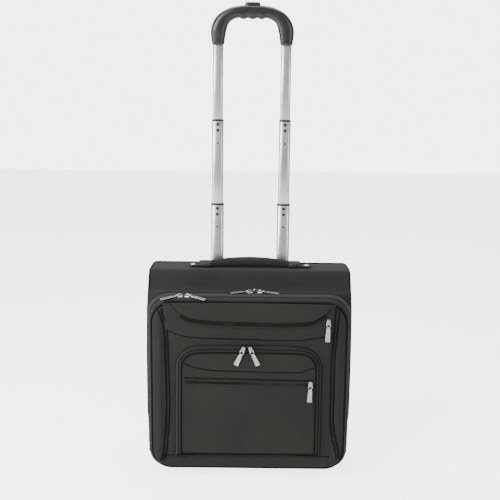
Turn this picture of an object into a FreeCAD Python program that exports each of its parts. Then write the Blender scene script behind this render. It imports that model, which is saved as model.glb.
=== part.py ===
import FreeCAD, Part
import os
import re
import Sketcher
from FreeCAD import Placement, Rotation, Vector

# A soft-sided wheeled case with a three-stage telescopic handle.
# X runs to the case's right, Y to its back and Z up. The origin is on the floor, mid width.
# Every size is in millimetres and has its own cell in the sheet.
SIZES = {
    # case shell: heights above the floor, depths from the origin plane
    "case_width": 430, "wall": 3, "base_height": 22, "base_wall": 4, "top_height": 435.5,
    "shelf_height": 394, "back_depth": 100, "slope_depth": 10, "slope_foot": 20,
    "zip_depth": 31,
    "organiser_depth": 73, "front_depth": 90, "front_width": 412, "front_drop": 6,
    "round_top": 45, "round_foot": 38, "zip_half": 3, "zip_proud": 0.6, "seam_gap": 0.3,
    "piping": 3,
    # wheels and their housings
    "wheel_radius": 37.5, "wheel_width": 24, "wheel_back": 71, "tyre_thick": 8.5,
    "tyre_round": 5, "axle_radius": 4, "axle_play": 0.05, "housing_width": 50,
    "housing_front": 20, "housing_top": 90, "housing_floor": 8, "housing_proud": 4,
    "housing_back": 103, "housing_wall": 7, "wheel_space": 4, "housing_round": 4,
    # feet and skid rails
    "foot_width": 56, "foot_length": 28, "foot_spread": 300, "rail_spread": 250,
    "rail_width": 16, "rail_start": 100, "rail_end": 320, "rail_thick": 6,
    "screw_radius": 1.7, "screw_head": 3.5, "screw_sink": 3, "screw_play": 0.2,
    # telescopic tubes: the upper stage is the slimmest and each one outside it a step larger
    "tube_spread": 147, "tube_back": 81, "tube_width": 22, "tube_depth": 13, "tube_wall": 1.2,
    "tube_step": 3, "tube_round": 5.5, "collar_high": 3, "collar_proud": 0.8, "collar_play": 0.3,
    "pip_radius": 2.5, "pip_proud": 0.2, "pip_first": 10.3, "pip_second": 23,
    "bush_radius": 2, "bush_proud": 0.1, "bush_drop": 51.5, "lower_top": 573,
    "middle_top": 757.6, "stage_overlap": 65, "lower_start": 300, "plug_high": 22,
    "plug_play": 0.05, "pin_radius": 2, "pin_play": 0.05, "pin_length": 6, "bracket_high": 14,
    "bezel_width": 229, "bezel_depth": 38, "bezel_high": 6, "bezel_round": 8,
    # grip and its release button
    "grip_start": 917.3, "grip_top": 999.6, "grip_foot": 173, "grip_waist": 178.6,
    "grip_waist_height": 944, "grip_shoulder": 170.6, "grip_shoulder_height": 960,
    "grip_side_round": 58, "grip_crown": 120, "grip_crown_drop": 9.1,
    "grip_thick": 26, "grip_edge": 6, "hand_width": 118.8,
    "hand_top": 972.2, "hand_round": 20, "hand_taper": 4.5, "cavity_deep": 10,
    "cavity_floor": 3.3, "cavity_roof": 14.6, "cavity_bend": 50, "cavity_knee": 54,
    "yoke_inset": 2, "shoulder_screw": 141, "shoulder_screw_drop": 25.1,
    "corner_screw": 104, "corner_screw_drop": 9.7,
    "leg_play": 0.2, "tube_reach": 22.7, "button_width": 33, "button_depth": 17,
    "button_top": 1005.6, "button_rise": 4.6, "button_play": 0.4,
    "mouth_deep": 15, "mouth_over": 1, "yoke_high": 3.5,
    "yoke_thick": 6, "yoke_base": 981, "press": 4, "rod_radius": 2, "rod_play": 0.3,
    "spring_high": 24, "spring_wire": 1.4,
    # carry handle
    "carry_width": 172, "carry_depth": 26, "carry_back": 42, "carry_lift": 6,
    "carry_end": 6.5, "carry_seat": 1.5, "carry_flat": 0.72, "carry_arch": 14.5,
    "strap_width": 20, "strap_thick": 2.5,
    "strap_reach": 133, "stud_spread": 254, "stud_radius": 5.5, "stud_high": 3,
    "mount_length": 16, "mount_high": 9, "mount_gap": 2, "strap_play": 0.3,
    # pockets on the front and their zips
    "upper_pocket_width": 332, "upper_pocket_base": 312, "upper_pocket_top": 374,
    "upper_pocket_thick": 5, "lower_pocket_width": 306, "lower_pocket_base": 56,
    "lower_pocket_top": 297, "lower_pocket_thick": 12, "lower_pocket_round": 30,
    "pocket_round": 12, "chain_high": 1.5, "chain_width": 5, "upper_chain": 349,
    "lower_chain": 289, "welt_chain": 220, "divider_gap": 6,
    # zip sliders and their pull tabs
    "slider_length": 11, "slider_width": 9, "slider_high": 3.2, "bridge_front": 4.5,
    "bridge_back": 3.6, "bridge_width": 4, "bridge_high": 3, "bridge_wall": 1.2,
    "pull_start": 1.2, "pull_bar": 1.2, "pull_level": 3.5, "pull_neck": 9.3,
    "pull_neck_width": 7.6, "pull_hole": 5.2, "pull_length": 40, "pull_width": 10.4,
    "slider_stand": 0.4,
}

doc = FreeCAD.newDocument("FlightCase")
sheet = doc.addObject("Spreadsheet::Sheet", "Sizes")
parts = []


def fill_sheet():
    for row, (name, value) in enumerate(SIZES.items(), 1):
        sheet.set(f"A{row}", name)
        sheet.set(f"B{row}", str(value))
        sheet.setAlias(f"B{row}", name)
    doc.recompute()


def linked(text):
    """An expression over size names, written as FreeCAD reads it."""
    names = lambda match: f"Sizes.{match[0]}" if match[0] in SIZES else match[0]
    return re.sub(r"[a-z_]+", names, str(text))


def number(text):
    return float(sheet.evalExpression(linked(text)))


def pin_coordinate(sketch, kind, curve, point, text):
    """Ties one coordinate of a sketch point to an expression, on either side of zero."""
    value = number(text)
    ends = (-1, 1, curve, point) if value >= 0 else (curve, point, -1, 1)
    index = sketch.addConstraint(Sketcher.Constraint(kind, *ends, abs(value)))
    sign = "" if value >= 0 else "-"
    sketch.setExpression(f"Constraints[{index}]", f"{sign}({linked(text)})")


def arc_through(start, end, radius, inward):
    """A minor arc from start to end; it bulges to the right of the way unless inward."""
    chord = end - start
    middle = (start + end) / 2
    side = Vector(-chord.y, chord.x, 0).normalize()
    reach = max(radius**2 - (chord.Length / 2) ** 2, 0) ** 0.5
    turn = -1 if inward else 1
    centre = middle + side * reach * turn
    top = centre - side * radius * turn
    return Part.Arc(start, top, end)


def draw(sketch, outline):
    """Draws a closed outline. A corner (x, y) starts a line and (x, y, radius) an arc that
    bulges outward on an anticlockwise outline; a negative radius text bulges inward."""
    places = [Vector(number(corner[0]), number(corner[1]), 0) for corner in outline]
    curves = []
    for index, corner in enumerate(outline):
        start = places[index]
        end = places[(index + 1) % len(places)]
        if len(corner) == 3:
            inward = corner[2].startswith("-")
            radius = number(corner[2].lstrip("-"))
            curves.append(sketch.addGeometry(arc_through(start, end, radius, inward)))
        else:
            curves.append(sketch.addGeometry(Part.LineSegment(start, end)))
    firsts = []
    for index, corner in enumerate(outline):
        # an arc drawn clockwise keeps its ends the other way round
        flipped = len(corner) == 3 and corner[2].startswith("-")
        firsts.append((curves[index], 2 if flipped else 1, 1 if flipped else 2))
    for index, (curve, first, last) in enumerate(firsts):
        after = firsts[(index + 1) % len(firsts)]
        sketch.addConstraint(Sketcher.Constraint("Coincident", curve, last, after[0], after[1]))
        pin_coordinate(sketch, "DistanceX", curve, first, outline[index][0])
        pin_coordinate(sketch, "DistanceY", curve, first, outline[index][1])
    for index, corner in enumerate(outline):
        if len(corner) == 3:
            text = corner[2].lstrip("-")
            place = sketch.addConstraint(
                Sketcher.Constraint("Radius", curves[index], number(text)))
            sketch.setExpression(f"Constraints[{place}]", linked(text))


def draw_circle(sketch, across, along, radius):
    centre = Vector(number(across), number(along), 0)
    curve = sketch.addGeometry(Part.Circle(centre, Vector(0, 0, 1), number(radius)))
    pin_coordinate(sketch, "DistanceX", curve, 3, across)
    pin_coordinate(sketch, "DistanceY", curve, 3, along)
    place = sketch.addConstraint(Sketcher.Constraint("Radius", curve, number(radius)))
    sketch.setExpression(f"Constraints[{place}]", linked(radius))


def new_body(label):
    body = doc.addObject("PartDesign::Body", label)
    body.AllowCompound = True
    parts.append(body)
    return body


def sketch_on(body, plane, start, outlines):
    sketch = body.newObject("Sketcher::SketchObject", f"{body.Name}_sketch")
    planes = body.Origin.OriginFeatures
    sketch.AttachmentSupport = [next(p for p in planes if p.Role == f"{plane}_Plane")]
    sketch.MapMode = "FlatFace"
    # the XZ plane faces the front, so its sketches step back along -Z of the sketch
    sign = "-" if plane == "XZ" else ""
    sketch.setExpression("AttachmentOffset.Base.z", f"{sign}({linked(start)})")
    for outline in outlines:
        if outline[0] == "circle":
            draw_circle(sketch, *outline[1:])
        else:
            draw(sketch, outline)
    return sketch


def pad(body, plane, start, length, *outlines):
    """Adds a prism from start, length further along the plane's row axis."""
    sketch = sketch_on(body, plane, start, outlines)
    feature = body.newObject("PartDesign::Pad", f"{body.Name}_pad")
    feature.Profile = sketch
    feature.Reversed = plane == "XZ"
    feature.setExpression("Length", linked(length))
    body.Tip = feature
    doc.recompute()
    return feature


def cut(body, plane, start, length, *outlines):
    """Cuts a prism from start, length further along the plane's row axis."""
    before = body.Shape.Volume
    sketch = sketch_on(body, plane, start, outlines)
    feature = body.newObject("PartDesign::Pocket", f"{body.Name}_cut")
    feature.Profile = sketch
    feature.Reversed = plane != "XZ"
    feature.setExpression("Length", linked(length))
    body.Tip = feature
    doc.recompute()
    if not body.Shape.Volume < before:
        raise RuntimeError(f"{body.Label}: a cut removed nothing")
    return feature


def round_edges(body, radius, wanted):
    """Fillets the edges of the body's newest feature that wanted(edge) picks."""
    tip = body.Tip
    names = [f"Edge{n}" for n, edge in enumerate(tip.Shape.Edges, 1) if wanted(edge)]
    feature = body.newObject("PartDesign::Fillet", f"{body.Name}_round")
    feature.Base = (tip, names)
    feature.setExpression("Radius", linked(radius))
    body.Tip = feature
    doc.recompute()


def prism(label, plane, start, length, *outlines):
    body = new_body(label)
    pad(body, plane, start, length, *outlines)
    return body


def block(left, right, low, high):
    """A rectangle's outline, anticlockwise."""
    return [(left, low), (right, low), (right, high), (left, high)]


def soft_block(left, right, low, high, round_low, round_high):
    """A rectangle's outline with rounded corners."""
    return [
        (f"{left} + {round_low}", low), (f"{right} - {round_low}", low, round_low),
        (right, f"{low} + {round_low}"), (right, f"{high} - {round_high}", round_high),
        (f"{right} - {round_high}", high), (f"{left} + {round_high}", high, round_high),
        (left, f"{high} - {round_high}"), (left, f"{low} + {round_low}", round_low),
    ]


# ---- case shell -------------------------------------------------------------------------
HALF = "case_width / 2"
INNER = "(case_width / 2 - wall)"
NOTCH = "(case_width / 2 - housing_width)"
CASE_FRONT = "(-zip_depth + zip_half)"
BACK_IN = "(back_depth - wall)"


def tube_outline(side, steps, grow="0"):
    """One tube's section, as many steps out from the upper stage and grown all round."""
    half_width = f"(tube_width / 2 + tube_step / 2 * {steps} + {grow})"
    half_depth = f"(tube_depth / 2 + tube_step / 2 * {steps} + {grow})"
    corner = f"(tube_round + tube_step / 2 * {steps} + {grow})"
    middle = f"{side} * tube_spread / 2"
    return soft_block(f"({middle} - {half_width})", f"({middle} + {half_width})",
                      f"(tube_back - {half_depth})", f"(tube_back + {half_depth})",
                      corner, corner)


def tube_pair(steps, grow="0"):
    return [tube_outline(side, steps, grow) for side in (-1, 1)]


def build_case_shell():
    prism("back_panel", "XZ", BACK_IN, "wall", [
        (f"-{HALF}", "housing_top"), (f"-{NOTCH}", "housing_top"), (f"-{NOTCH}", "base_height"),
        (NOTCH, "base_height"), (NOTCH, "housing_top"), (HALF, "housing_top"),
        (HALF, "top_height"), (f"-{HALF}", "top_height")])
    sides = new_body("side_panels")
    for start in (f"-{HALF}", INNER):
        pad(sides, "YZ", start, "wall", [
            (CASE_FRONT, "base_height"), ("housing_front", "base_height"),
            ("housing_front", "housing_top"), (BACK_IN, "housing_top"),
            (BACK_IN, "top_height"), ("slope_depth", "top_height"),
            ("(-slope_foot)", "shelf_height"), (CASE_FRONT, "shelf_height")])
    top = prism("top_panel", "YZ", f"-{INNER}", f"2 * {INNER}", [
        (CASE_FRONT, "shelf_height - wall"), ("(wall / 2 - slope_foot)", "shelf_height - wall"),
        ("slope_depth + wall / 2", "top_height - wall"), (BACK_IN, "top_height - wall"),
        (BACK_IN, "top_height"), ("slope_depth", "top_height"),
        ("(-slope_foot)", "shelf_height"), (CASE_FRONT, "shelf_height")])
    cut(top, "XY", "top_height - wall", "wall", *tube_pair(3, "collar_play"))
    prism("base_panel", "XY", "base_height", "base_wall", [
        (f"-{INNER}", CASE_FRONT), (INNER, CASE_FRONT), (INNER, "housing_front"),
        (NOTCH, "housing_front"), (NOTCH, BACK_IN), (f"-{NOTCH}", BACK_IN),
        (f"-{NOTCH}", "housing_front"), (f"-{INNER}", "housing_front")])


def ring_outline(grow, inset, drop):
    """The zip rings' outline: full case width, rounded at the top and the foot."""
    side = f"({HALF} + {grow} - {inset})"
    return soft_block(f"(-{side})", side, f"(base_height - {grow} + {drop})",
                      f"(shelf_height + {grow} - {drop})",
                      f"(round_foot + {grow} - {inset})", f"(round_top + {grow} - {inset})")


def zip_ring(label, start, length="(zip_half - seam_gap / 2)"):
    return prism(label, "XZ", start, length, ring_outline("zip_proud", "0", "0"),
                 ring_outline("0", "wall", "wall"))


# ---- wheels -----------------------------------------------------------------------------
def build_wheel(name, side):
    """One wheel in its housing; side is -1 on the left and 1 on the right."""
    edge = "(case_width / 2 + housing_proud)"
    inner = NOTCH
    left, right = (inner, edge) if side > 0 else (f"(-{edge})", f"(-{inner})")
    space = "(wheel_width + 2 * wheel_space)"
    pocket_out = f"({edge} - housing_wall)"
    start = f"{pocket_out} - {space}" if side > 0 else f"-{pocket_out}"
    middle = f"{side} * ({pocket_out} - {space} / 2)"
    housing = prism(f"wheel_housing_{name}", "YZ", left, f"{right} - {left}",
                    block("housing_front", "housing_back", "housing_floor", "housing_top"))
    outer_x = side * number(edge)
    round_edges(housing, "housing_round", lambda e: abs(e.CenterOfMass.x - outer_x) < 0.1)
    clear = "(wheel_radius + wheel_space)"
    cut(housing, "YZ", start, space, [
        (f"wheel_back - {clear}", "housing_floor"), ("housing_back", "housing_floor"),
        ("housing_back", f"wheel_radius + {clear}"),
        ("wheel_back", f"wheel_radius + {clear}", clear),
        (f"wheel_back - {clear}", "wheel_radius")])
    bore = f"{start} - housing_wall" if side > 0 else start
    cut(housing, "YZ", f"({bore}) - housing_wall / 2 * {max(-side, 0)}",
        f"{space} + 1.5 * housing_wall", ("circle", "wheel_back", "wheel_radius", "axle_radius"))
    tread = prism(f"tyre_{name}", "YZ", f"{middle} - wheel_width / 2", "wheel_width",
                  ("circle", "wheel_back", "wheel_radius", "wheel_radius"),
                  ("circle", "wheel_back", "wheel_radius", "wheel_radius - tyre_thick"))
    round_edges(tread, "tyre_round", lambda e: abs(e.Curve.Radius - number("wheel_radius")) < 0.1
                if hasattr(e.Curve, "Radius") else False)
    prism(f"hub_{name}", "YZ", f"{middle} - wheel_width / 2", "wheel_width",
          ("circle", "wheel_back", "wheel_radius", "wheel_radius - tyre_thick"),
          ("circle", "wheel_back", "wheel_radius", "axle_radius + axle_play"))


def build_axles():
    axles = new_body("wheel_axles")
    space = "(wheel_width + 2 * wheel_space)"
    outer = "(case_width / 2 + housing_proud - housing_wall / 2)"
    length = f"({space} + housing_wall)"
    for start in (f"{outer} - {length}", f"-{outer}"):
        pad(axles, "YZ", start, length, ("circle", "wheel_back", "wheel_radius", "axle_radius"))


# ---- feet and skid rails ----------------------------------------------------------------
def build_feet():
    feet = new_body("front_feet")
    for side in (-1, 1):
        middle = f"{side} * foot_spread / 2"
        pad(feet, "XY", "0", "base_height", soft_block(
            f"({middle} - foot_width / 2)", f"({middle} + foot_width / 2)", CASE_FRONT,
            f"({CASE_FRONT} + foot_length)", "housing_round", "housing_round"))


def build_rails():
    rails = new_body("skid_rails")
    half = "rail_width / 2"
    for side in (-1, 1):
        middle = f"{side} * rail_spread / 2"
        pad(rails, "XZ", "back_depth", "rail_thick", soft_block(
            f"({middle} - {half})", f"({middle} + {half})", "rail_start", "rail_end",
            "(rail_width / 2 - 1)", "(rail_width / 2 - 1)"))


# ---- telescopic handle ------------------------------------------------------------------
def build_tubes(label, steps, start, end):
    """A pair of tubes, as many steps out from the upper stage."""
    return prism(label, "XY", start, f"({end}) - ({start})",
                 *tube_pair(steps), *tube_pair(steps, "(-tube_wall)"))


def inner_face(side, steps):
    """The X place of a tube's outer face on the side toward the other tube."""
    return f"({side} * (tube_spread / 2 - tube_width / 2 - tube_step / 2 * {steps}))"


def build_stage_fittings(label, steps, start, top):
    """Top collars with their front pips, foot plugs and the lock bushes on the inner sides."""
    fittings = new_body(label)
    pad(fittings, "XY", f"{top} - collar_high", "collar_high",
        *tube_pair(steps, "collar_proud"), *tube_pair(steps - 1, "collar_play"))
    front = f"(tube_back - tube_depth / 2 - tube_step / 2 * {steps})"
    for drop in ("pip_first", "pip_second"):
        pad(fittings, "XZ", f"{front} - pip_proud", "pip_proud", *[
            ("circle", f"{side} * tube_spread / 2", f"{top} - {drop}", "pip_radius")
            for side in (-1, 1)])
    for side in (-1, 1):
        face = inner_face(side, steps)
        begin = face if side < 0 else f"{face} - bush_proud"
        pad(fittings, "YZ", begin, "bush_proud",
            ("circle", "tube_back", f"{top} - bush_drop", "bush_radius"))
    pad(fittings, "XY", start, "plug_high", *tube_pair(steps, "(-tube_wall - plug_play)"))
    return fittings


def build_lock_pin(label, side, steps, level):
    """A sliding lock pin in a foot plug, its nose level with the tube's inner side."""
    face = inner_face(side, steps)
    begin = f"{face}" if side > 0 else f"{face} - pin_length"
    return prism(label, "YZ", begin, "pin_length", ("circle", "tube_back", level, "pin_radius"))


def cut_pin_bores(body, steps, level, radius):
    """The cross bores that the lock pins slide in, longer than a pin by its travel."""
    for side in (-1, 1):
        face = inner_face(side, steps)
        begin = f"{face}" if side > 0 else f"{face} - 2 * pin_length"
        cut(body, "YZ", begin, "2 * pin_length", ("circle", "tube_back", level, radius))


def build_handle():
    bezel = prism("handle_bezel", "XY", "top_height", "bezel_high", soft_block(
        "(-bezel_width / 2)", "(bezel_width / 2)", "(back_depth - wall - bezel_depth)",
        "(back_depth - wall)", "bezel_round", "bezel_round"))
    round_edges(bezel, "bezel_high / 3",
                lambda e: e.BoundBox.ZMin > number("top_height + bezel_high - 0.1"))
    cut(bezel, "XY", "top_height", "bezel_high", *tube_pair(2, "collar_play"))
    bracket_top = "(base_height + base_wall + bracket_high)"
    prism("tube_foot_bracket", "XY", "base_height + base_wall", "bracket_high",
          block("(-bezel_width / 2)", "(bezel_width / 2)",
                "(back_depth - wall - bezel_depth * 0.9)", "(back_depth - wall)"))
    build_tubes("outer_tubes", 3, bracket_top, "top_height")
    build_tubes("lower_stage_tubes", 2, "lower_start", "lower_top - collar_high")
    build_stage_fittings("lower_stage_fittings", 2, "lower_start", "lower_top")
    middle_start = "(lower_top - stage_overlap)"
    build_tubes("middle_stage_tubes", 1, middle_start, "middle_top - collar_high")
    build_stage_fittings("middle_stage_fittings", 1, middle_start, "middle_top")
    upper_start = "(middle_top - stage_overlap)"
    pin_level = "(middle_top - bush_drop)"
    tubes = build_tubes("upper_stage_tubes", 0, upper_start, "grip_start + tube_reach")
    for side in (-1, 1):
        face = inner_face(side, 0)
        begin = face if side > 0 else f"{face} - 2 * tube_wall"
        cut(tubes, "YZ", begin, "2 * tube_wall",
            ("circle", "tube_back", pin_level, "pin_radius + pin_play"))
    plugs = prism("upper_stage_plugs", "XY", upper_start, "plug_high",
                  *tube_pair(0, "(-tube_wall - plug_play)"))
    cut_pin_bores(plugs, 0, pin_level, "pin_radius + pin_play")
    for name, side in (("left", -1), ("right", 1)):
        build_lock_pin(f"lock_pin_{name}", side, 0, pin_level)


# ---- grip and release button ------------------------------------------------------------
CAVITY_TOP = "(grip_top - cavity_roof)"
CAVITY_FLOOR = "(hand_top + cavity_floor)"


def arc_radius(half_chord, rise):
    """The radius of an arc, from half its chord and its rise."""
    return f"({half_chord} * {half_chord} + {rise} * {rise}) / (2 * {rise})"


def grip_outline():
    """An arched bridge: two legs under a crowned bar."""
    foot, waist, crown = "(grip_foot / 2)", "(grip_waist / 2)", "(grip_crown / 2)"
    shoulder = "(grip_shoulder / 2)"
    crown_height = "(grip_top - grip_crown_drop)"
    crown_round = arc_radius(crown, "grip_crown_drop")
    hand = "(hand_width / 2)"
    inner = f"({hand} - hand_taper)"
    return [
        (f"-{foot}", "grip_start"), (f"-{hand}", "grip_start"),
        (f"-{inner}", "(hand_top - hand_round)", "-hand_round"),
        (f"-({inner} - hand_round)", "hand_top"),
        (f"({inner} - hand_round)", "hand_top", "-hand_round"),
        (inner, "(hand_top - hand_round)"), (hand, "grip_start"), (foot, "grip_start"),
        (waist, "grip_waist_height"), (shoulder, "grip_shoulder_height", "grip_side_round"),
        (crown, crown_height, crown_round), (f"-{crown}", crown_height, "grip_side_round"),
        (f"-{shoulder}", "grip_shoulder_height"), (f"-{waist}", "grip_waist_height")]


def cavity_outline():
    """The space inside the grip for the tube ends, the yoke and its travel."""
    out = "(tube_spread / 2 + tube_width / 2 + leg_play)"
    near = "(tube_spread / 2 - tube_width / 2 - leg_play)"
    knee, bend = "cavity_knee", "cavity_bend"
    low = high = "(grip_start + tube_reach + 2 * press)"
    return [
        (f"-{out}", "grip_start"), (f"-{near}", "grip_start"), (f"-{near}", low),
        (f"-{bend}", CAVITY_FLOOR), (bend, CAVITY_FLOOR), (near, low), (near, "grip_start"),
        (out, "grip_start"), (out, high), (knee, CAVITY_TOP), (f"-{knee}", CAVITY_TOP),
        (f"-{out}", high)]


def grip_screws(radius):
    """Screw places at the shoulders and at the inner corners of the hand gap."""
    return [("circle", f"{side} * ({across})", level, radius) for side in (-1, 1)
            for across, level in (("shoulder_screw / 2", "grip_top - shoulder_screw_drop"),
                                  ("corner_screw / 2", "hand_top - corner_screw_drop"))]


def build_grip():
    middle = "tube_back"
    half = "grip_thick / 2"
    opening = "(button_width / 2 + button_play)"
    for label, start, cavity, face in (
            ("grip_front_shell", f"{middle} - {half}", f"{middle} - cavity_deep", -1),
            ("grip_rear_shell", middle, middle, 1)):
        shell = prism(label, "XZ", start, half, grip_outline())
        outer_y = number(f"{middle} + {face} * {half}")
        round_edges(shell, "grip_edge", lambda e: abs(e.BoundBox.YMin - outer_y) < 0.01
                    and abs(e.BoundBox.YMax - outer_y) < 0.01)
        cut(shell, "XZ", cavity, "cavity_deep", cavity_outline())
        mouth = f"({middle} - button_depth / 2 - button_play)" if face < 0 else middle
        cut(shell, "XZ", mouth, "button_depth / 2 + button_play", [
            (f"-{opening}", "(grip_top - mouth_deep)"), (opening, "(grip_top - mouth_deep)"),
            (opening, "(grip_top + mouth_over)"), (f"-{opening}", "(grip_top + mouth_over)")])
        cut(shell, "XZ", f"{middle} - cavity_deep * {max(-face, 0)}",
            "cavity_deep" if face < 0 else half, *grip_screws("screw_radius"))
        if face > 0:
            cut(shell, "XZ", f"{middle} + {half} - screw_sink", "screw_sink",
                *grip_screws("(screw_head + screw_play)"))
    screws = new_body("grip_screws")
    pad(screws, "XZ", f"{middle} - cavity_deep", f"cavity_deep + {half} - screw_sink",
        *grip_screws("screw_radius"))
    pad(screws, "XZ", f"{middle} + {half} - screw_sink", "screw_sink / 2",
        *grip_screws("screw_head"))


def build_release():
    """The push button, the yoke with its two rods, and the return springs."""
    side = "(button_width / 2)"
    seat = "(yoke_base + yoke_high)"
    shoulder = "(button_top - button_rise)"
    prism("release_button", "XZ", "tube_back - button_depth / 2", "button_depth", [
        (f"-{side}", seat), (side, seat),
        (side, shoulder, arc_radius(side, "button_rise")),
        (f"-{side}", shoulder)])
    tip, near = "(tube_spread / 2 + 3)", "(tube_spread / 2 - 3)"
    knee, bend = "(cavity_knee - yoke_inset)", "(cavity_bend - yoke_inset / 2)"
    leg_low = "(grip_start + tube_reach + press + yoke_inset)"
    leg_high = f"({leg_low} + yoke_inset * 3)"
    yoke = prism("release_yoke", "XZ", "tube_back - yoke_thick / 2", "yoke_thick", [
        (f"-{tip}", leg_low), (f"-{near}", leg_low), (f"-{near}", leg_high),
        (f"-{bend}", "yoke_base"), (bend, "yoke_base"), (near, leg_high), (near, leg_low),
        (tip, leg_low), (tip, leg_high), (knee, seat), (f"-{knee}", seat),
        (f"-{tip}", leg_high)])
    plug_top = "(middle_top - stage_overlap + plug_high)"
    rods = [("circle", f"{sign} * tube_spread / 2", "tube_back", "rod_radius")
            for sign in (-1, 1)]
    rod_start = f"({plug_top} + press + rod_play)"
    pad(yoke, "XY", rod_start, f"{leg_low} - {rod_start}", *rods)
    flange = [("circle", f"{sign} * tube_spread / 2", "tube_back", "rod_radius * 2")
              for sign in (-1, 1)]
    pad(yoke, "XY", f"{plug_top} + spring_high", "yoke_high", *flange)
    springs = new_body("release_springs")
    pad(springs, "XY", plug_top, "spring_high", *[
        ("circle", f"{sign} * tube_spread / 2", "tube_back", ring) for sign in (-1, 1)
        for ring in ("rod_radius + rod_play + spring_wire", "rod_radius + rod_play")])


# ---- carry handle -----------------------------------------------------------------------
def build_carry_handle():
    half = "(carry_width / 2)"
    under = "(top_height + carry_lift)"
    end_low = "(top_height + carry_seat)"
    end_high = "(top_height + carry_seat + carry_end)"
    crown = arc_radius(half, "carry_arch")
    front = "(carry_back - carry_depth / 2)"
    grip = prism("carry_handle_grip", "XZ", front, "carry_depth", [
        (f"-{half}", end_low), (f"-{half} * carry_flat", under), (f"{half} * carry_flat", under),
        (half, end_low), (half, end_high, crown), (f"-{half}", end_high)])
    round_edges(grip, "carry_end / 3", lambda e: e.CenterOfMass.z > number(end_high) + 2)
    strap = new_body("carry_handle_strap")
    mounts = new_body("carry_handle_mounts")
    studs = new_body("mount_studs")
    strap_y = ("(carry_back - strap_width / 2)", "(carry_back + strap_width / 2)")
    low = "(top_height + strap_play)"
    for side in (-1, 1):
        mount_in = f"({half} + mount_gap)"
        mount_out = f"({half} + mount_gap + mount_length)"
        near, far = (mount_in, mount_out) if side > 0 else (f"(-{mount_out})", f"(-{mount_in})")
        pad(mounts, "XY", "top_height", "mount_high", block(near, far, front,
            "(carry_back + carry_depth / 2)"))
        near, far = (half, "strap_reach") if side > 0 else ("(-strap_reach)", f"(-{half})")
        pad(strap, "XY", low, "strap_thick", block(near, far, *strap_y))
        pad(studs, "XY", f"{low} + strap_thick", "stud_high",
            ("circle", f"{side} * stud_spread / 2", "carry_back", "stud_radius"))
    cut(mounts, "YZ", "(-strap_reach)", "2 * strap_reach", block(
        "(carry_back - strap_width / 2 - strap_play)",
        "(carry_back + strap_width / 2 + strap_play)",
        "top_height", "(top_height + strap_thick + 2 * strap_play)"))


# ---- lid and front panel ----------------------------------------------------------------
def build_lid():
    """The middle ring of the case, with the board that parts the two compartments."""
    start = "(-organiser_depth + zip_half)"
    length = "(organiser_depth - zip_depth - 2 * zip_half)"
    prism("lid_gusset", "XZ", start, length, ring_outline("0", "0", "0"),
          ring_outline("0", "wall", "wall"))
    board = "(-zip_depth - zip_half - divider_gap)"
    prism("divider_panel", "XZ", f"{board} - wall", "wall",
          ring_outline("0", "(wall + seam_gap)", "(wall + seam_gap)"))
    zips = zip_ring("lid_zip_halves", "(-zip_depth - zip_half)")
    pad(zips, "XZ", "(-organiser_depth + seam_gap / 2)", "(zip_half - seam_gap / 2)",
        ring_outline("zip_proud", "0", "0"), ring_outline("0", "wall", "wall"))


def front_outline(grow):
    side = f"(front_width / 2 + {grow})"
    return soft_block(f"(-{side})", side, f"(base_height - {grow} + 4)",
                      f"(shelf_height - front_drop + {grow})", f"(round_foot + {grow})",
                      f"(round_top + {grow})")


def build_front_panel():
    board_back = "(-front_depth + wall)"
    prism("front_board", "XZ", "(-front_depth)", "wall", front_outline("0"))
    prism("front_gusset", "XZ", board_back,
          "(front_depth - wall - organiser_depth - zip_half)",
          front_outline("3"), front_outline("(-2)"))
    piping = prism("front_piping", "XZ", "(-front_depth)", "wall", front_outline("3"),
                   front_outline("0"))
    round_edges(piping, "piping / 3", lambda e: e.BoundBox.YMax < number("-front_depth") + 0.1
                and e.BoundBox.XLength + e.BoundBox.ZLength > 0)
    upper_front = "(-front_depth - upper_pocket_thick)"
    prism("upper_pocket", "XZ", upper_front, "upper_pocket_thick", soft_block(
        "(-upper_pocket_width / 2)", "(upper_pocket_width / 2)", "upper_pocket_base",
        "upper_pocket_top", "pocket_round", "pocket_round"))
    lower_front = "(-front_depth - lower_pocket_thick)"
    prism("lower_pocket", "XZ", lower_front, "lower_pocket_thick", soft_block(
        "(-lower_pocket_width / 2)", "(lower_pocket_width / 2)", "lower_pocket_base",
        "lower_pocket_top", "pocket_round", "lower_pocket_round"))
    zips = new_body("front_zips")
    pad(zips, "XZ", "(-organiser_depth - zip_half)", "(zip_half - seam_gap / 2)",
        ring_outline("zip_proud", "0", "0"), ring_outline("0", "wall * 3", "wall * 3"))
    for front, level, width in (
            (upper_front, "upper_chain", "upper_pocket_width"),
            (lower_front, "lower_chain", "(lower_pocket_width - 2 * lower_pocket_round)"),
            (lower_front, "welt_chain", "(lower_pocket_width - 2 * pocket_round)")):
        pad(zips, "XZ", f"{front} - chain_high", "chain_high", block(
            f"(-{width} / 2)", f"({width} / 2)", f"({level} - chain_width / 2)",
            f"({level} + chain_width / 2)"))


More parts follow.
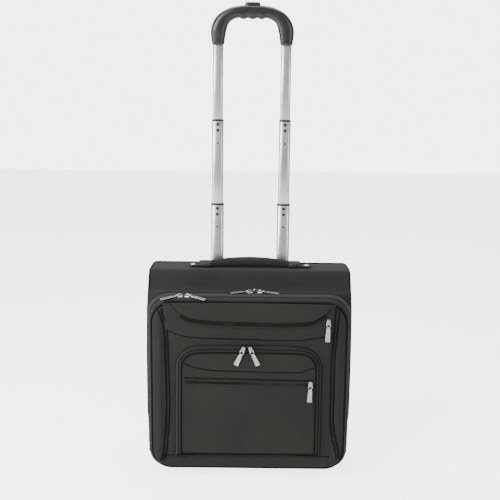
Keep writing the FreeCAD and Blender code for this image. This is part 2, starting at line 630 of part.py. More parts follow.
# ---- sliders and pull tabs --------------------------------------------------------------
# Each zip slider: where its middle is, whether it lies on the top or on the front, and which
# way its tab points, in degrees anticlockwise from +X as seen from outside.
TOP_LEVEL = "(shelf_height + zip_proud + slider_stand)"
FRONT_UPPER = "(-front_depth - upper_pocket_thick - chain_high - slider_stand)"
FRONT_LOWER = "(-front_depth - lower_pocket_thick - chain_high - slider_stand)"
SLIDERS = {
    "main_left": ("0.5", "(-zip_depth)", TOP_LEVEL, "top", 180),
    "main_right": ("22.6", "(-zip_depth)", TOP_LEVEL, "top", 0),
    "organiser_left": ("-145", "(-organiser_depth)", TOP_LEVEL, "top", 180),
    "organiser_right": ("-128.7", "(-organiser_depth)", TOP_LEVEL, "top", 0),
    "upper_pocket": ("158", FRONT_UPPER, "upper_chain", "front", -92),
    "lower_pocket_left": ("-12", FRONT_LOWER, "lower_chain", "front", -107),
    "lower_pocket_right": ("4", FRONT_LOWER, "lower_chain", "front", -73),
    "welt": ("129", FRONT_LOWER, "welt_chain", "front", -92),
}


def place(body, x, y, z, face, turn):
    stand = Rotation(Vector(1, 0, 0), 90) if face == "front" else Rotation()
    body.Placement = Placement(Vector(), stand * Rotation(Vector(0, 0, 1), turn))
    for axis, text in (("x", x), ("y", y), ("z", z)):
        body.setExpression(f"Placement.Base.{axis}", linked(text))


def build_slider(name, x, y, z, face, turn):
    """A zip slider with a bridge, and a pull tab that hangs in the bridge."""
    half = "slider_width / 2"
    slider = prism(f"slider_{name}", "XY", "0", "slider_high", soft_block(
        "(-slider_length / 2)", "(slider_length / 2)", f"(-{half})", f"({half})",
        "slider_width / 4", "slider_width / 4"))
    roof = "(slider_high + bridge_high)"
    pad(slider, "XZ", "(-bridge_width / 2)", "bridge_width", [
        ("(-bridge_back)", "slider_high"), ("(bridge_wall - bridge_back)", "slider_high"),
        ("(bridge_wall - bridge_back)", f"({roof} - bridge_wall)"),
        ("(bridge_front - bridge_wall)", f"({roof} - bridge_wall)"),
        ("(bridge_front - bridge_wall)", "slider_high"), ("bridge_front", "slider_high"),
        ("bridge_front", roof), ("(-bridge_back)", roof)])
    neck = "(pull_neck_width / 2)"
    wide = "(pull_width / 2)"
    pull = prism(f"pull_{name}", "XY", "pull_level", "pull_bar", [
        ("pull_start", f"-{neck}"), ("pull_neck", f"-{neck}"), ("pull_neck", f"-{wide}"),
        ("pull_length", f"-{wide}"), ("pull_length", wide), ("pull_neck", wide),
        ("pull_neck", neck), ("pull_start", neck)],
        block("(pull_start + pull_bar)", "(pull_neck - pull_bar)", "(-pull_hole / 2)",
              "(pull_hole / 2)"))
    place(slider, x, y, z, face, turn)
    place(pull, x, y, z, face, turn)


def check_and_export():
    doc.recompute()
    for item in doc.Objects:
        if {"Invalid", "Error"} & set(item.State):
            raise RuntimeError(f"{item.Label} failed: {item.State}")
    os.makedirs("parts", exist_ok=True)
    for body in parts:
        shape = body.Shape
        if shape.isNull() or not shape.isValid() or not shape.Solids:
            raise RuntimeError(f"{body.Label} has no valid solid")
        shape.exportStep(f"parts/{body.Label}.step")


fill_sheet()
build_case_shell()
zip_ring("main_zip_case_half", "(-zip_depth + seam_gap / 2)")
build_axles()
for side_name, side_sign in (("left", -1), ("right", 1)):
    build_wheel(side_name, side_sign)
build_feet()
build_rails()
build_handle()
build_grip()
build_release()
build_carry_handle()
build_lid()
build_front_panel()
for slider_name, layout in SLIDERS.items():
    build_slider(slider_name, *layout)
check_and_export()
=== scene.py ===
import math

import bmesh
import bpy
from mathutils import Matrix, Vector, noise


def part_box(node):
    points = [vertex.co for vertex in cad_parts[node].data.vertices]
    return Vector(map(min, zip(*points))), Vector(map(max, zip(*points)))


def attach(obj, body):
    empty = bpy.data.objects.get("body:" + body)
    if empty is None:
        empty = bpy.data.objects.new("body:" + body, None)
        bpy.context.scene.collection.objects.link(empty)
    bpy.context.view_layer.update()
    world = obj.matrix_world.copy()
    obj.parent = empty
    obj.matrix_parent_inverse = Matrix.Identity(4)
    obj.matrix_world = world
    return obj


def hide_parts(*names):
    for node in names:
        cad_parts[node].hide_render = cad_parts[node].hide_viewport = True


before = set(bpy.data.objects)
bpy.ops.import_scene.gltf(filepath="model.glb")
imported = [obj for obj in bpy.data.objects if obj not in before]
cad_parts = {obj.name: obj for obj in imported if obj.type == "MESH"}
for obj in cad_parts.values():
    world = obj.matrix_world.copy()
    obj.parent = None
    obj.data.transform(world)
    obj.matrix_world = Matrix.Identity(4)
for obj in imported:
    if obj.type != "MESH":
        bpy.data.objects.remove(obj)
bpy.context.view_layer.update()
MM = 0.001

# Main places of the case, in millimetres: X to its right, Y to its back, Z up.
HALF_WIDTH = 215.0
BACK = 100.0
TOP = 435.5
SHELF = 394.0
BASE = 22.0
SLOPE_TOP = 10.0
SLOPE_FOOT = -19.0
MAIN_ZIP = -31.0
ORGANISER_ZIP = -73.0
FRONT = -90.0
FRONT_HALF = 200.0
FRONT_TOP = 385.0
FRONT_BASE = 28.0
ROUND_TOP = 45.0
ROUND_FOOT = 38.0
WALL = 3.0
NARROWING = 9.0
TUBE_X, TUBE_Y, TUBE_WALL = 73.5, 81.0, 1.2
# how square a section is: 2 is an ellipse, and a larger figure is squarer
TUBE_CROWN, PAD_CROWN, GRIP_CROWN, CUFF_CROWN, BUTTON_CROWN = 3.1, 2.6, 2.5, 3, 5
TUBE_OPENING = (16.5, 12.5)
HOUSING_OPENING = ((195.0, 63.0, 45.5), (51.0, 84.5, 88.5))
TOOTH_PITCH = 2.4
TO_FRONT = Vector((0, -1, 0))


# ---- small helpers ----------------------------------------------------------------------
def linear(code):
    """An sRGB hex colour such as "#40413c" as the linear colour a shader takes."""
    channels = [int(code[i:i + 2], 16) / 255 for i in (1, 3, 5)]
    return [c / 12.92 if c <= 0.04045 else ((c + 0.055) / 1.055) ** 2.4 for c in channels] + [1]


def add_node(tree, kind, settings=None, **links):
    """Adds a node; settings go on the node or its sockets, links join named sockets."""
    node = tree.nodes.new(kind)
    for name, value in (settings or {}).items():
        if isinstance(name, str) and hasattr(node, name) and name not in node.inputs:
            setattr(node, name, value)
        else:
            node.inputs[name].default_value = value
    for name, source in links.items():
        tree.links.new(source, node.inputs[name.replace("_", " ")])
    return node


def smooth_step(value):
    """Rises from 0 to 1 with level ends."""
    value = min(max(value, 0.0), 1.0)
    return value * value * (3 - 2 * value)


def quarter_round(value):
    """Rises from 0 to 1 like the side of a quarter circle."""
    value = min(max(value, 0.0), 1.0)
    return math.sqrt(1 - (1 - value) ** 2)


def select_only(obj):
    """Makes one object the only selected and active one."""
    bpy.ops.object.select_all(action="DESELECT")
    obj.select_set(True)
    bpy.context.view_layer.objects.active = obj


def apply_modifier(obj, kind, **settings):
    """Adds a modifier and applies it at once."""
    select_only(obj)
    modifier = obj.modifiers.new(kind.title(), kind)
    for name, value in settings.items():
        setattr(modifier, name, value)
    bpy.ops.object.modifier_apply(modifier=modifier.name)


def finish_piece(obj, name, body, material, angle=40, replaces=()):
    """Names a piece, shades it, gives its material and fastens it to its body."""
    select_only(obj)
    bpy.ops.object.transform_apply(location=True, rotation=True, scale=True)
    bpy.ops.object.shade_smooth_by_angle(angle=math.radians(angle))
    obj.name = name
    obj.data.name = name
    obj.data.materials.clear()
    obj.data.materials.append(material)
    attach(obj, body)
    if replaces:
        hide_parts(*replaces)
    return obj


def mesh_object(name, verts, faces):
    """A new object from points in millimetres and faces."""
    mesh = bpy.data.meshes.new(name)
    mesh.from_pydata([Vector(v) * MM for v in verts], [], faces)
    mesh.update()
    obj = bpy.data.objects.new(name, mesh)
    bpy.context.collection.objects.link(obj)
    return obj


def outward(obj):
    """Merges doubles and turns the faces of a closed piece outward."""
    select_only(obj)
    bpy.ops.object.mode_set(mode="EDIT")
    bpy.ops.mesh.select_all(action="SELECT")
    bpy.ops.mesh.remove_doubles(threshold=0.00002)
    bpy.ops.mesh.normals_make_consistent(inside=False)
    bpy.ops.object.mode_set(mode="OBJECT")


def loft(name, loops, cap_start=False, cap_end=False, ring=False):
    """Bridges closed loops of equally many points, with its faces turned outward."""
    count = len(loops[0])
    verts = [point for loop in loops for point in loop]
    faces = []
    for row in range(len(loops) - (0 if ring else 1)):
        here, there = row * count, (row + 1) % len(loops) * count
        for i in range(count):
            j = (i + 1) % count
            faces.append((here + i, here + j, there + j, there + i))
    if cap_start:
        faces.append(tuple(range(count))[::-1])
    if cap_end:
        last = (len(loops) - 1) * count
        faces.append(tuple(range(last, last + count)))
    piece = mesh_object(name, verts, faces)
    outward(piece)
    return piece


def squircle(count, power):
    """Points (x, y) round a unit superellipse, from the +x side."""
    ring = []
    for k in range(count):
        c, v = math.cos(math.tau * k / count), math.sin(math.tau * k / count)
        r = (abs(c) ** power + abs(v) ** power) ** (-1 / power)
        ring.append((c * r, v * r))
    return ring


def tooth_faces(base):
    """The six faces of a zip tooth whose eight corners run in pairs round it."""
    around = [(base + i, base + i + 1, base + (i + 3) % 8, base + (i + 2) % 8)
              for i in (0, 2, 4, 6)]
    return around + [(base, base + 2, base + 4, base + 6),
                     (base + 1, base + 7, base + 5, base + 3)]


def rounded_outline(half, low, high, round_low, round_high, step=6.0, bulge=0.0):
    """Points (x, z) round a rectangle with rounded corners, from the foot's middle
    anticlockwise as seen from the front. The sides bulge out by bulge at mid height."""
    corners = 12
    points = []

    def line(start, end, count):
        for i in range(count):
            t = i / count
            points.append((start[0] + (end[0] - start[0]) * t, start[1] + (end[1] - start[1]) * t))

    def corner(x, z, radius, begin):
        for i in range(corners):
            angle = begin + math.pi / 2 * i / corners
            points.append((x + radius * math.cos(angle), z + radius * math.sin(angle)))

    across = int(2 * HALF_WIDTH / step / 2)
    along = int((TOP - BASE) / step)
    line((0, low), (half - round_low, low), across)
    corner(half - round_low, low + round_low, round_low, -math.pi / 2)
    line((half, low + round_low), (half, high - round_high), along)
    corner(half - round_high, high - round_high, round_high, 0)
    line((half - round_high, high), (round_high - half, high), 2 * across)
    corner(round_high - half, high - round_high, round_high, math.pi / 2)
    line((-half, high - round_high), (-half, low + round_low), along)
    corner(round_low - half, low + round_low, round_low, math.pi)
    line((round_low - half, low), (0, low), across)
    middle, span = (low + high) / 2, (high - low) / 2
    return [(x + math.copysign(bulge * max(0, 1 - ((z - middle) / span) ** 2), x)
             * min(1, abs(x) / half) ** 4, z) for x, z in points]


def tube_along(name, points, radius, closed=False, resolution=3):
    """A round cord through the points, made a mesh."""
    curve = bpy.data.curves.new(name, "CURVE")
    curve.dimensions = "3D"
    curve.bevel_depth = radius * MM
    curve.bevel_resolution = resolution
    curve.use_fill_caps = True
    spline = curve.splines.new("POLY")
    spline.points.add(len(points) - 1)
    for spot, point in zip(spline.points, points):
        spot.co = (*(Vector(point) * MM), 1)
    spline.use_cyclic_u = closed
    obj = bpy.data.objects.new(name, curve)
    bpy.context.collection.objects.link(obj)
    select_only(obj)
    bpy.ops.object.convert(target="MESH")
    return bpy.context.view_layer.objects.active


def join(pieces):
    """Joins the pieces into the first of them."""
    bpy.ops.object.select_all(action="DESELECT")
    for piece in pieces:
        piece.select_set(True)
    bpy.context.view_layer.objects.active = pieces[0]
    bpy.ops.object.join()
    return bpy.context.view_layer.objects.active


# ---- materials --------------------------------------------------------------------------
def new_material(name):
    """A material with its tree, its shader and the Object coordinates."""
    material = bpy.data.materials.new(name)
    material.use_nodes = True
    tree = material.node_tree
    shader = tree.nodes["Principled BSDF"]
    place = add_node(tree, "ShaderNodeTexCoord").outputs["Object"]
    return material, tree, shader, place


def woven(name, dark, light, thread_mm, roughness, bump=0.35, sheen=0.06):
    """Polyester twill: crossing threads, a diagonal rib, and slow shading from wear."""
    material, tree, shader, place = new_material(name)
    scale = 1000 / thread_mm
    threads = []
    for axis in ("X", "Y", "Z"):
        wave = add_node(tree, "ShaderNodeTexWave", {
            "wave_type": "BANDS", "bands_direction": axis, "Scale": scale / 20,
            "Distortion": 0.6, "Detail": 1.0, "Detail Scale": 3.0},
            Vector=place)
        threads.append(wave.outputs["Fac"])
    plain = add_node(tree, "ShaderNodeMath", {"operation": "MULTIPLY"})
    tree.links.new(threads[0], plain.inputs[0])
    tree.links.new(threads[2], plain.inputs[1])
    weave = add_node(tree, "ShaderNodeMath", {"operation": "ADD"})
    tree.links.new(plain.outputs[0], weave.inputs[0])
    tree.links.new(threads[1], weave.inputs[1])
    cloud = add_node(tree, "ShaderNodeTexNoise", {"Scale": 9.0, "Detail": 3.0}, Vector=place)
    fuzz = add_node(tree, "ShaderNodeTexNoise", {"Scale": 900.0, "Detail": 2.0}, Vector=place)
    blend = add_node(tree, "ShaderNodeMath", {"operation": "MULTIPLY_ADD", 1: 0.55})
    tree.links.new(cloud.outputs["Fac"], blend.inputs[0])
    tree.links.new(fuzz.outputs["Fac"], blend.inputs[2])
    tone = add_node(tree, "ShaderNodeValToRGB", Fac=blend.outputs[0])
    tone.color_ramp.elements[0].position = 0.45
    tone.color_ramp.elements[0].color = linear(dark)
    tone.color_ramp.elements[1].position = 1.05
    tone.color_ramp.elements[1].color = linear(light)
    tree.links.new(tone.outputs["Color"], shader.inputs["Base Color"])
    relief = add_node(tree, "ShaderNodeBump", {"Strength": bump, "Distance": 0.0004},
                      Height=weave.outputs[0])
    tree.links.new(relief.outputs["Normal"], shader.inputs["Normal"])
    shader.inputs["Roughness"].default_value = roughness
    shader.inputs["Sheen Weight"].default_value = sheen
    shader.inputs["Sheen Roughness"].default_value = 0.5
    shader.inputs["Specular IOR Level"].default_value = 0.22
    return material


def moulded(name, dark, light, roughness, grain_mm=0.6, bump=0.12, coat=0.0, shine=0.5):
    """Injection-moulded plastic or rubber: a fine spark grain and faint flow shading."""
    material, tree, shader, place = new_material(name)
    grain = add_node(tree, "ShaderNodeTexNoise", {"Scale": 1000 / grain_mm, "Detail": 2.0},
                     Vector=place)
    flow = add_node(tree, "ShaderNodeTexNoise", {"Scale": 25.0, "Detail": 3.0}, Vector=place)
    tone = add_node(tree, "ShaderNodeValToRGB", Fac=flow.outputs["Fac"])
    tone.color_ramp.elements[0].position = 0.35
    tone.color_ramp.elements[0].color = linear(dark)
    tone.color_ramp.elements[1].position = 0.7
    tone.color_ramp.elements[1].color = linear(light)
    tree.links.new(tone.outputs["Color"], shader.inputs["Base Color"])
    gloss = add_node(tree, "ShaderNodeMapRange", {
        "From Min": 0.3, "From Max": 0.7, "To Min": roughness - 0.05, "To Max": roughness + 0.08},
        Value=flow.outputs["Fac"])
    tree.links.new(gloss.outputs["Result"], shader.inputs["Roughness"])
    relief = add_node(tree, "ShaderNodeBump", {"Strength": bump, "Distance": 0.0002},
                      Height=grain.outputs["Fac"])
    tree.links.new(relief.outputs["Normal"], shader.inputs["Normal"])
    shader.inputs["Coat Weight"].default_value = coat
    shader.inputs["Specular IOR Level"].default_value = shine
    shader.inputs["Coat Roughness"].default_value = 0.25
    return material


def metal(name, dark, light, roughness, stretch=(1, 1, 1), line_mm=0.4, bump=0.05):
    """Bare or plated metal with fine drawn or brushed lines along the stretched axis."""
    material, tree, shader, place = new_material(name)
    lay = add_node(tree, "ShaderNodeMapping", {"Scale": stretch}, Vector=place)
    lines = add_node(tree, "ShaderNodeTexNoise", {"Scale": 1000 / line_mm, "Detail": 2.0},
                     Vector=lay.outputs["Vector"])
    wear = add_node(tree, "ShaderNodeTexNoise", {"Scale": 14.0, "Detail": 4.0}, Vector=place)
    tone = add_node(tree, "ShaderNodeValToRGB", Fac=wear.outputs["Fac"])
    tone.color_ramp.elements[0].position = 0.35
    tone.color_ramp.elements[0].color = linear(dark)
    tone.color_ramp.elements[1].position = 0.65
    tone.color_ramp.elements[1].color = linear(light)
    tree.links.new(tone.outputs["Color"], shader.inputs["Base Color"])
    gloss = add_node(tree, "ShaderNodeMapRange", {
        "From Min": 0.3, "From Max": 0.7, "To Min": roughness - 0.04, "To Max": roughness + 0.06},
        Value=lines.outputs["Fac"])
    tree.links.new(gloss.outputs["Result"], shader.inputs["Roughness"])
    relief = add_node(tree, "ShaderNodeBump", {"Strength": bump, "Distance": 0.0001},
                      Height=lines.outputs["Fac"])
    tree.links.new(relief.outputs["Normal"], shader.inputs["Normal"])
    shader.inputs["Metallic"].default_value = 1.0
    return material


# Coated polyester twill, matte with a little sheen; its 0.5 mm threads are drawn 1.2 mm apart
TWILL = woven("polyester_twill", "#161614", "#242422", 1.2, 0.86)
# Padded face of the pockets, the same cloth a shade warmer where it has been handled
TWILL_FACE = woven("polyester_twill_face", "#171614", "#252320", 1.2, 0.84)
# Narrow woven zip tape, close and dull
TAPE = woven("zip_tape_weave", "#0a0a09", "#101010", 0.8, 0.85, bump=0.2, sheen=0.1)
# Sewn-on cord covered in soft vinyl, nearly black and slightly shiny
PIPING = moulded("vinyl_piping", "#050505", "#090909", 0.7, grain_mm=1.0, shine=0.12)
# Nylon coil teeth, dark and a little glossy
COIL = moulded("nylon_coil", "#070707", "#0d0c0c", 0.6, grain_mm=0.4, shine=0.2)
# Polypropylene of the grip, satin with a soft highlight
GRIP_PLASTIC = moulded("satin_polypropylene", "#151311", "#1c1a18", 0.36, coat=0.15)
# Harder moulded parts, a duller ABS
ABS = moulded("grained_abs", "#0f0f0e", "#171615", 0.5)
# Solid rubber of the tyres, matte and grainy
RUBBER = moulded("solid_tyre_rubber", "#0c0c0c", "#151514", 0.72, grain_mm=0.9, bump=0.3)
# Satin anodised tube, drawn along its length
ANODISED = metal("anodised_aluminium", "#c9c3c1", "#dcd8d6", 0.34, stretch=(1, 1, 0.02))
# Zinc castings with satin nickel plating
NICKEL = metal("satin_nickel", "#a19d99", "#bab6b2", 0.24, line_mm=0.8)
# Mirror-like chrome plating of the strap studs
CHROME = metal("polished_chrome", "#d5d3d0", "#efeeec", 0.12, line_mm=2.0, bump=0.02)
# Plain bright steel of axles, screws, pins and springs
STEEL = metal("bright_steel", "#8f8d8a", "#a9a7a4", 0.35)
# Thin nylon cloth of the divider in the lid and of its pocket
LINING = woven("nylon_lining", "#111213", "#1a1b1d", 1.0, 0.7, bump=0.15)
# Bonded nylon sewing thread of the stitched rows
THREAD = woven("bonded_thread", "#1c1b19", "#262422", 0.6, 0.6, bump=0.2)


# ---- case shell -------------------------------------------------------------------------
def top_height(y):
    """The rear case's top line: a low shelf by the zip, a slope, then the flat top."""
    climb = smooth_step((y - SLOPE_FOOT) / (SLOPE_TOP + 5 - SLOPE_FOOT))
    crown = smooth_step((y - SLOPE_TOP) / 30) * smooth_step((BACK - y) / 30)
    return SHELF + (TOP - SHELF) * climb + crown


def case_section(y, inset=0.0):
    """The rear case's outline at depth y."""
    front = smooth_step((-17.0 - y) / 11.0)
    top_round = 6 + (ROUND_TOP - 6) * front
    foot_round = 9 + (ROUND_FOOT - 9) * front
    bulge = 2.2 * smooth_step((y - MAIN_ZIP + 4) / 22) * smooth_step((BACK - y) / 25)
    half = HALF_WIDTH + 1.5 + 3.0 * smooth_step((y - MAIN_ZIP) / 15)
    outline = rounded_outline(half - inset, BASE + inset, top_height(y) - inset,
                              foot_round, top_round, bulge=bulge)
    return [(x, y, z) for x, z in outline]


def build_case_body():
    """The rear case as one thin shell, opened for the tubes and the wheel housings."""
    depths = [-28.2, -27, -25, -22, -19, -16, -13, -10, -6, -2, 2, 6, 9, 12, 16, 24, 36, 50, 64,
              78, 88, 94]
    loops = [case_section(y) for y in depths]
    # the back edge turns in over a 5 mm round and the back panel closes the shell
    for angle in (20, 45, 70, 90):
        turn = math.radians(angle)
        loops.append([(x, 94 + 5 * math.sin(turn), z) for x, _, z in
                      case_section(94, 5 * (1 - math.cos(turn)))])
    shell = loft("case_body", loops, cap_end=True)
    if shell.data.polygons[0].normal.dot(shell.data.polygons[0].center - Vector((0, 0, 0.2))) < 0:
        select_only(shell)
        bpy.ops.object.mode_set(mode="EDIT")
        bpy.ops.mesh.select_all(action="SELECT")
        bpy.ops.mesh.flip_normals()
        bpy.ops.object.mode_set(mode="OBJECT")
    apply_modifier(shell, "SOLIDIFY", thickness=WALL * MM, offset=-1)
    # openings for the tubes under the top plate, and for the wheel housings
    tools = []
    for side in (-1, 1):
        bpy.ops.mesh.primitive_cylinder_add(
            vertices=40, radius=1, depth=0.03,
            location=(side * TUBE_X * MM, TUBE_Y * MM, TOP * MM))
        hole = bpy.context.active_object
        hole.scale = (TUBE_OPENING[0] * MM, TUBE_OPENING[1] * MM, 1)
        tools.append(hole)
        (x, y, z), size = HOUSING_OPENING
        bpy.ops.mesh.primitive_cube_add(size=1, location=(side * x * MM, y * MM, z * MM))
        corner = bpy.context.active_object
        corner.scale = [length * MM for length in size]
        tools.append(corner)
    for tool in tools:
        select_only(tool)
        bpy.ops.object.transform_apply(location=False, rotation=False, scale=True)
        apply_modifier(shell, "BOOLEAN", operation="DIFFERENCE", object=tool, solver="EXACT")
        bpy.data.objects.remove(tool)
    finish_piece(shell, "case_body", "case", TWILL, angle=50,
                 replaces=("back_panel", "side_panels", "top_panel", "base_panel"))


def case_piping():
    """Sewn piping along the case's top edges, down its sides and round the back."""
    cords = []
    for side in (-1, 1):
        path = []
        for y in (93, 84, 70, 50, 30, 18, 12, 8, 4, 0, -4, -8, -12, -15):
            path.append((side * (HALF_WIDTH + 2.4), y, top_height(y) - 1.0))
        path += [(side * (HALF_WIDTH + 3.0), -17.5, SHELF - 8),
                 (side * (HALF_WIDTH + 3.4), -18.5, SHELF - 20)]
        path += [(side * (HALF_WIDTH + 3.4 + 2.6 * (1 - ((z - 208) / 186) ** 2)), -18.5, z)
                 for z in range(360, 100, -20)]
        path += [(side * (HALF_WIDTH + 3.2), -18.5, z) for z in (95, 60)]
        path += [(side * (HALF_WIDTH + 1), -18.5, 30), (side * (HALF_WIDTH - 5), -18.5, 22.6)]
        cords.append(tube_along("edge_cord", path, 1.8))
    back = [(x, 96.2, z) for x, z in rounded_outline(
        HALF_WIDTH + 3.2, 21.8, TOP + 0.4, 7, 7, bulge=0.3)
        if z > 91.5]
    # start the open loop at one housing and end it at the other
    back.sort(key=lambda p: math.atan2(p[0], p[2] - 60))
    cords.append(tube_along("back_cord", back, 2.0))
    finish_piece(join(cords), "case_piping", "case", PIPING)


# ---- zips -------------------------------------------------------------------------------
def ring_path(grow, y, step=6.0):
    """The zip seam's outline at depth y; its sides draw in toward the front."""
    narrow = NARROWING * smooth_step((MAIN_ZIP - y) / (MAIN_ZIP - FRONT))
    return [(x, y, z) for x, z in rounded_outline(
        HALF_WIDTH + 1.5 + grow - narrow, BASE - grow, SHELF + grow, ROUND_FOOT, ROUND_TOP,
        step=step)]


def even_points(path, pitch):
    """Points spaced evenly along a closed path, each with its direction."""
    points = [Vector(p) for p in path]
    points.append(points[0])
    result, carry = [], 0.0
    for a, b in zip(points, points[1:]):
        span = (b - a).length
        if span < 1e-6:
            continue
        way = (b - a) / span
        while carry < span:
            result.append((a + way * carry, way))
            carry += pitch
        carry -= span
    return result


def zip_half(name, y_centre, side, body, node):
    """Half a zip round the case: woven tape, and coil teeth on its inner edge."""
    edge = y_centre + side * 0.35
    tape_loops = []
    for grow, reach in ((-0.6, 0.4), (0.35, 0.7), (0.6, 3.4), (0.2, 6.2), (-0.9, 6.4), (-1.0, 0.4)):
        tape_loops.append(ring_path(grow, y_centre + side * reach))
    tape = loft(f"{name}_tape", tape_loops)
    finish_piece(tape, f"{name}_tape", body, TAPE, replaces=(node,) if node else ())
    teeth = []
    for point, way in even_points(ring_path(0.9, edge), TOOTH_PITCH):
        if point.z < BASE + 4:
            # the foot is a fabric hinge, where the zip has no teeth
            continue
        out = Vector((way.z, 0, -way.x))
        teeth.append((point + way * (TOOTH_PITCH / 2 if side > 0 else 0), way, out))
    verts, faces = [], []
    for point, way, out in teeth:
        base = len(verts)
        across = Vector((0, side, 0))
        for reach, rise in ((-0.9, 0.0), (-0.6, 0.8), (1.6, 1.0), (2.4, 0.0)):
            for turn in (-0.55, 0.55):
                verts.append(point + across * reach + out * rise + way * turn)
        faces += tooth_faces(base)
    coil = mesh_object(f"{name}_coil", verts, faces)
    outward(coil)
    finish_piece(coil, f"{name}_coil", body, COIL, angle=60)


# ---- lid gusset and divider -------------------------------------------------------------
def gusset(name, start, end, body, material, node, swell=1.5):
    """A fabric ring between two zips, swelling a little between its seams."""
    loops = []
    count = 12
    for i in range(count + 1):
        t = i / count
        grow = swell * math.sin(math.pi * t) ** 0.7 - 0.3
        loops.append(ring_path(grow, start + (end - start) * t))
    for grow, y in ((-2.6, end), (-2.8, (start + end) / 2), (-2.6, start)):
        loops.append(ring_path(grow, y))
    loops.append(loops[0])
    ring = loft(name, loops)
    finish_piece(ring, name, body, material, replaces=(node,) if node else ())


# ---- fabric fronts ----------------------------------------------------------------------
def trace(points, count):
    """Points spaced evenly round a closed outline given by a few dozen points."""
    ring = [Vector(p) for p in points] + [Vector(points[0])]
    total = sum((b - a).length for a, b in zip(ring, ring[1:]))
    result, walked, goal = [], 0.0, 0.0
    for a, b in zip(ring, ring[1:]):
        span = (b - a).length
        while goal < walked + span - 1e-9 and len(result) < count:
            result.append(a + (b - a) * ((goal - walked) / span))
            goal += total / count
        walked += span
    return result


def pad_face(name, outline, front, rows, depth, base):
    """A crowned fabric face: loops close in from the outline, and depth(x, z, inset)
    says how far each point stands in front of the plane y = front."""
    middle = sum((p for p in outline), Vector((0, 0))) / len(outline)
    half_x = max(p.x for p in outline) - middle.x
    half_z = max(p.y for p in outline) - middle.y
    core_x, core_z = max(half_x - half_z, 0) * 0.98, max(half_z - half_x, 0) * 0.98
    loops = [[(p.x, base, p.y) for p in outline]]
    for row in range(rows + 1):
        t = (row / rows) ** 1.25
        loop = []
        for p in outline:
            core = Vector((middle.x + min(max(p.x - middle.x, -core_x), core_x),
                           middle.y + min(max(p.y - middle.y, -core_z), core_z)))
            spot = p.lerp(core, t * 0.985)
            loop.append((spot.x, front - depth(spot.x, spot.y, (p - spot).length), spot.y))
        loops.append(loop)
    return loft(name, loops, cap_start=True, cap_end=True)


def groove(distance, width, depth):
    """A soft channel of a seam, at a distance from its middle."""
    return depth * math.exp(-(distance / width) ** 2)


def curve_height(points, x):
    """The height at x of a line through points, smoothed between them."""
    if x <= points[0][0]:
        return points[0][1]
    for (x0, z0), (x1, z1) in zip(points, points[1:]):
        if x <= x1:
            return z0 + (z1 - z0) * smooth_step((x - x0) / (x1 - x0)) * 0.4 + (
                z1 - z0) * (x - x0) / (x1 - x0) * 0.6
    return points[-1][1]


def soft_line(points, step=5.0):
    """A smooth line through a few points, by Catmull-Rom pieces."""
    knots = [Vector(p) for p in points]
    knots = [2 * knots[0] - knots[1], *knots, 2 * knots[-1] - knots[-2]]
    line = []
    for a, b, c, d in zip(knots, knots[1:], knots[2:], knots[3:]):
        count = max(2, int((c - b).length / step))
        for i in range(count):
            t = i / count
            line.append(0.5 * (2 * b + (c - a) * t + (2 * a - 5 * b + 4 * c - d) * t * t
                               + (3 * b - a - 3 * c + d) * t ** 3))
    line.append(knots[-2])
    return line


def stitches(name, path, pitch, outward_way, body, material, radius=0.32):
    """A row of short raised stitches along a path."""
    points = [Vector(p) for p in path]
    verts, faces, carry = [], [], 0.0
    for a, b in zip(points, points[1:]):
        span = (b - a).length
        if span < 1e-6:
            continue
        way = (b - a) / span
        across = way.cross(outward_way).normalized()
        out = across.cross(way).normalized()
        while carry < span:
            spot = a + way * carry
            start = len(verts)
            for along, size in ((-0.34, 0.0), (-0.24, 1.0), (0.24, 1.0), (0.34, 0.0)):
                for side, rise in ((-1, 0), (0, 1), (1, 0)):
                    verts.append(spot + way * along * pitch + across * side * radius * size
                                 + out * (rise * radius * size))
            for row in range(3):
                for col in range(3):
                    one, two = start + row * 3 + col, start + row * 3 + (col + 1) % 3
                    faces.append((one, two, two + 3, one + 3))
            carry += pitch
        carry -= span
    row = mesh_object(name, verts, faces)
    select_only(row)
    bpy.ops.object.mode_set(mode="EDIT")
    bpy.ops.mesh.select_all(action="SELECT")
    bpy.ops.mesh.normals_make_consistent(inside=False)
    bpy.ops.object.mode_set(mode="OBJECT")
    return finish_piece(row, name, body, material, angle=60)


# Seam lines of the front as (x, z) knots, each run smooth through its points
LEFT_SEAM = [(-183, 374), (-173.2, 345.7), (-169.4, 321), (-168.1, 271.5), (-166, 178.1),
             (-167.7, 122.6), (-171.4, 75.7), (-174.3, 53.3), (-180, 42)]
RIGHT_SEAM = [(179, 376), (175.2, 309.4), (172.8, 270), (173.3, 196.2), (173.2, 141.1),
              (176.8, 103.9), (183.8, 75.7), (189, 50)]
FLAP_EDGE = [(-176, 392), (-164, 384.7), (-142.7, 363.4), (-120.6, 353.7), (-80, 349),
             (-25.9, 347.1), (69.2, 345.6), (105, 347), (132.2, 350.5), (160.3, 366.6),
             (169.2, 379.8), (176, 388)]
POCKET_SEAM = [(-172, 327), (-143.1, 315.2), (-104.9, 310.2), (-25.6, 308.5), (69.8, 306),
               (117.5, 308.5), (168, 317)]
SMILE = [(-133.6, 260.2), (-120, 253.5), (-106.2, 250.3), (-71.7, 245.1), (14.4, 243.1),
         (101.8, 242.2), (118.9, 246.8), (136, 253.1)]


def laid_on(face, points, lift):
    """Points (x, z) dropped from the front onto a face, then raised by lift."""
    path, last = [], FRONT
    for p in points:
        hit, spot, _, _ = face.ray_cast(Vector((p[0], -300, p[1])) * MM, Vector((0, 1, 0)))
        if hit:
            last = spot.y / MM
        path.append((p[0], last - lift, p[1]))
    # ease out single steps so that the cord keeps a steady line
    for _ in range(2):
        path = [path[0]] + [(b[0], (a[1] + 2 * b[1] + c[1]) / 4, b[2])
                            for a, b, c in zip(path, path[1:], path[2:])] + [path[-1]]
    return path


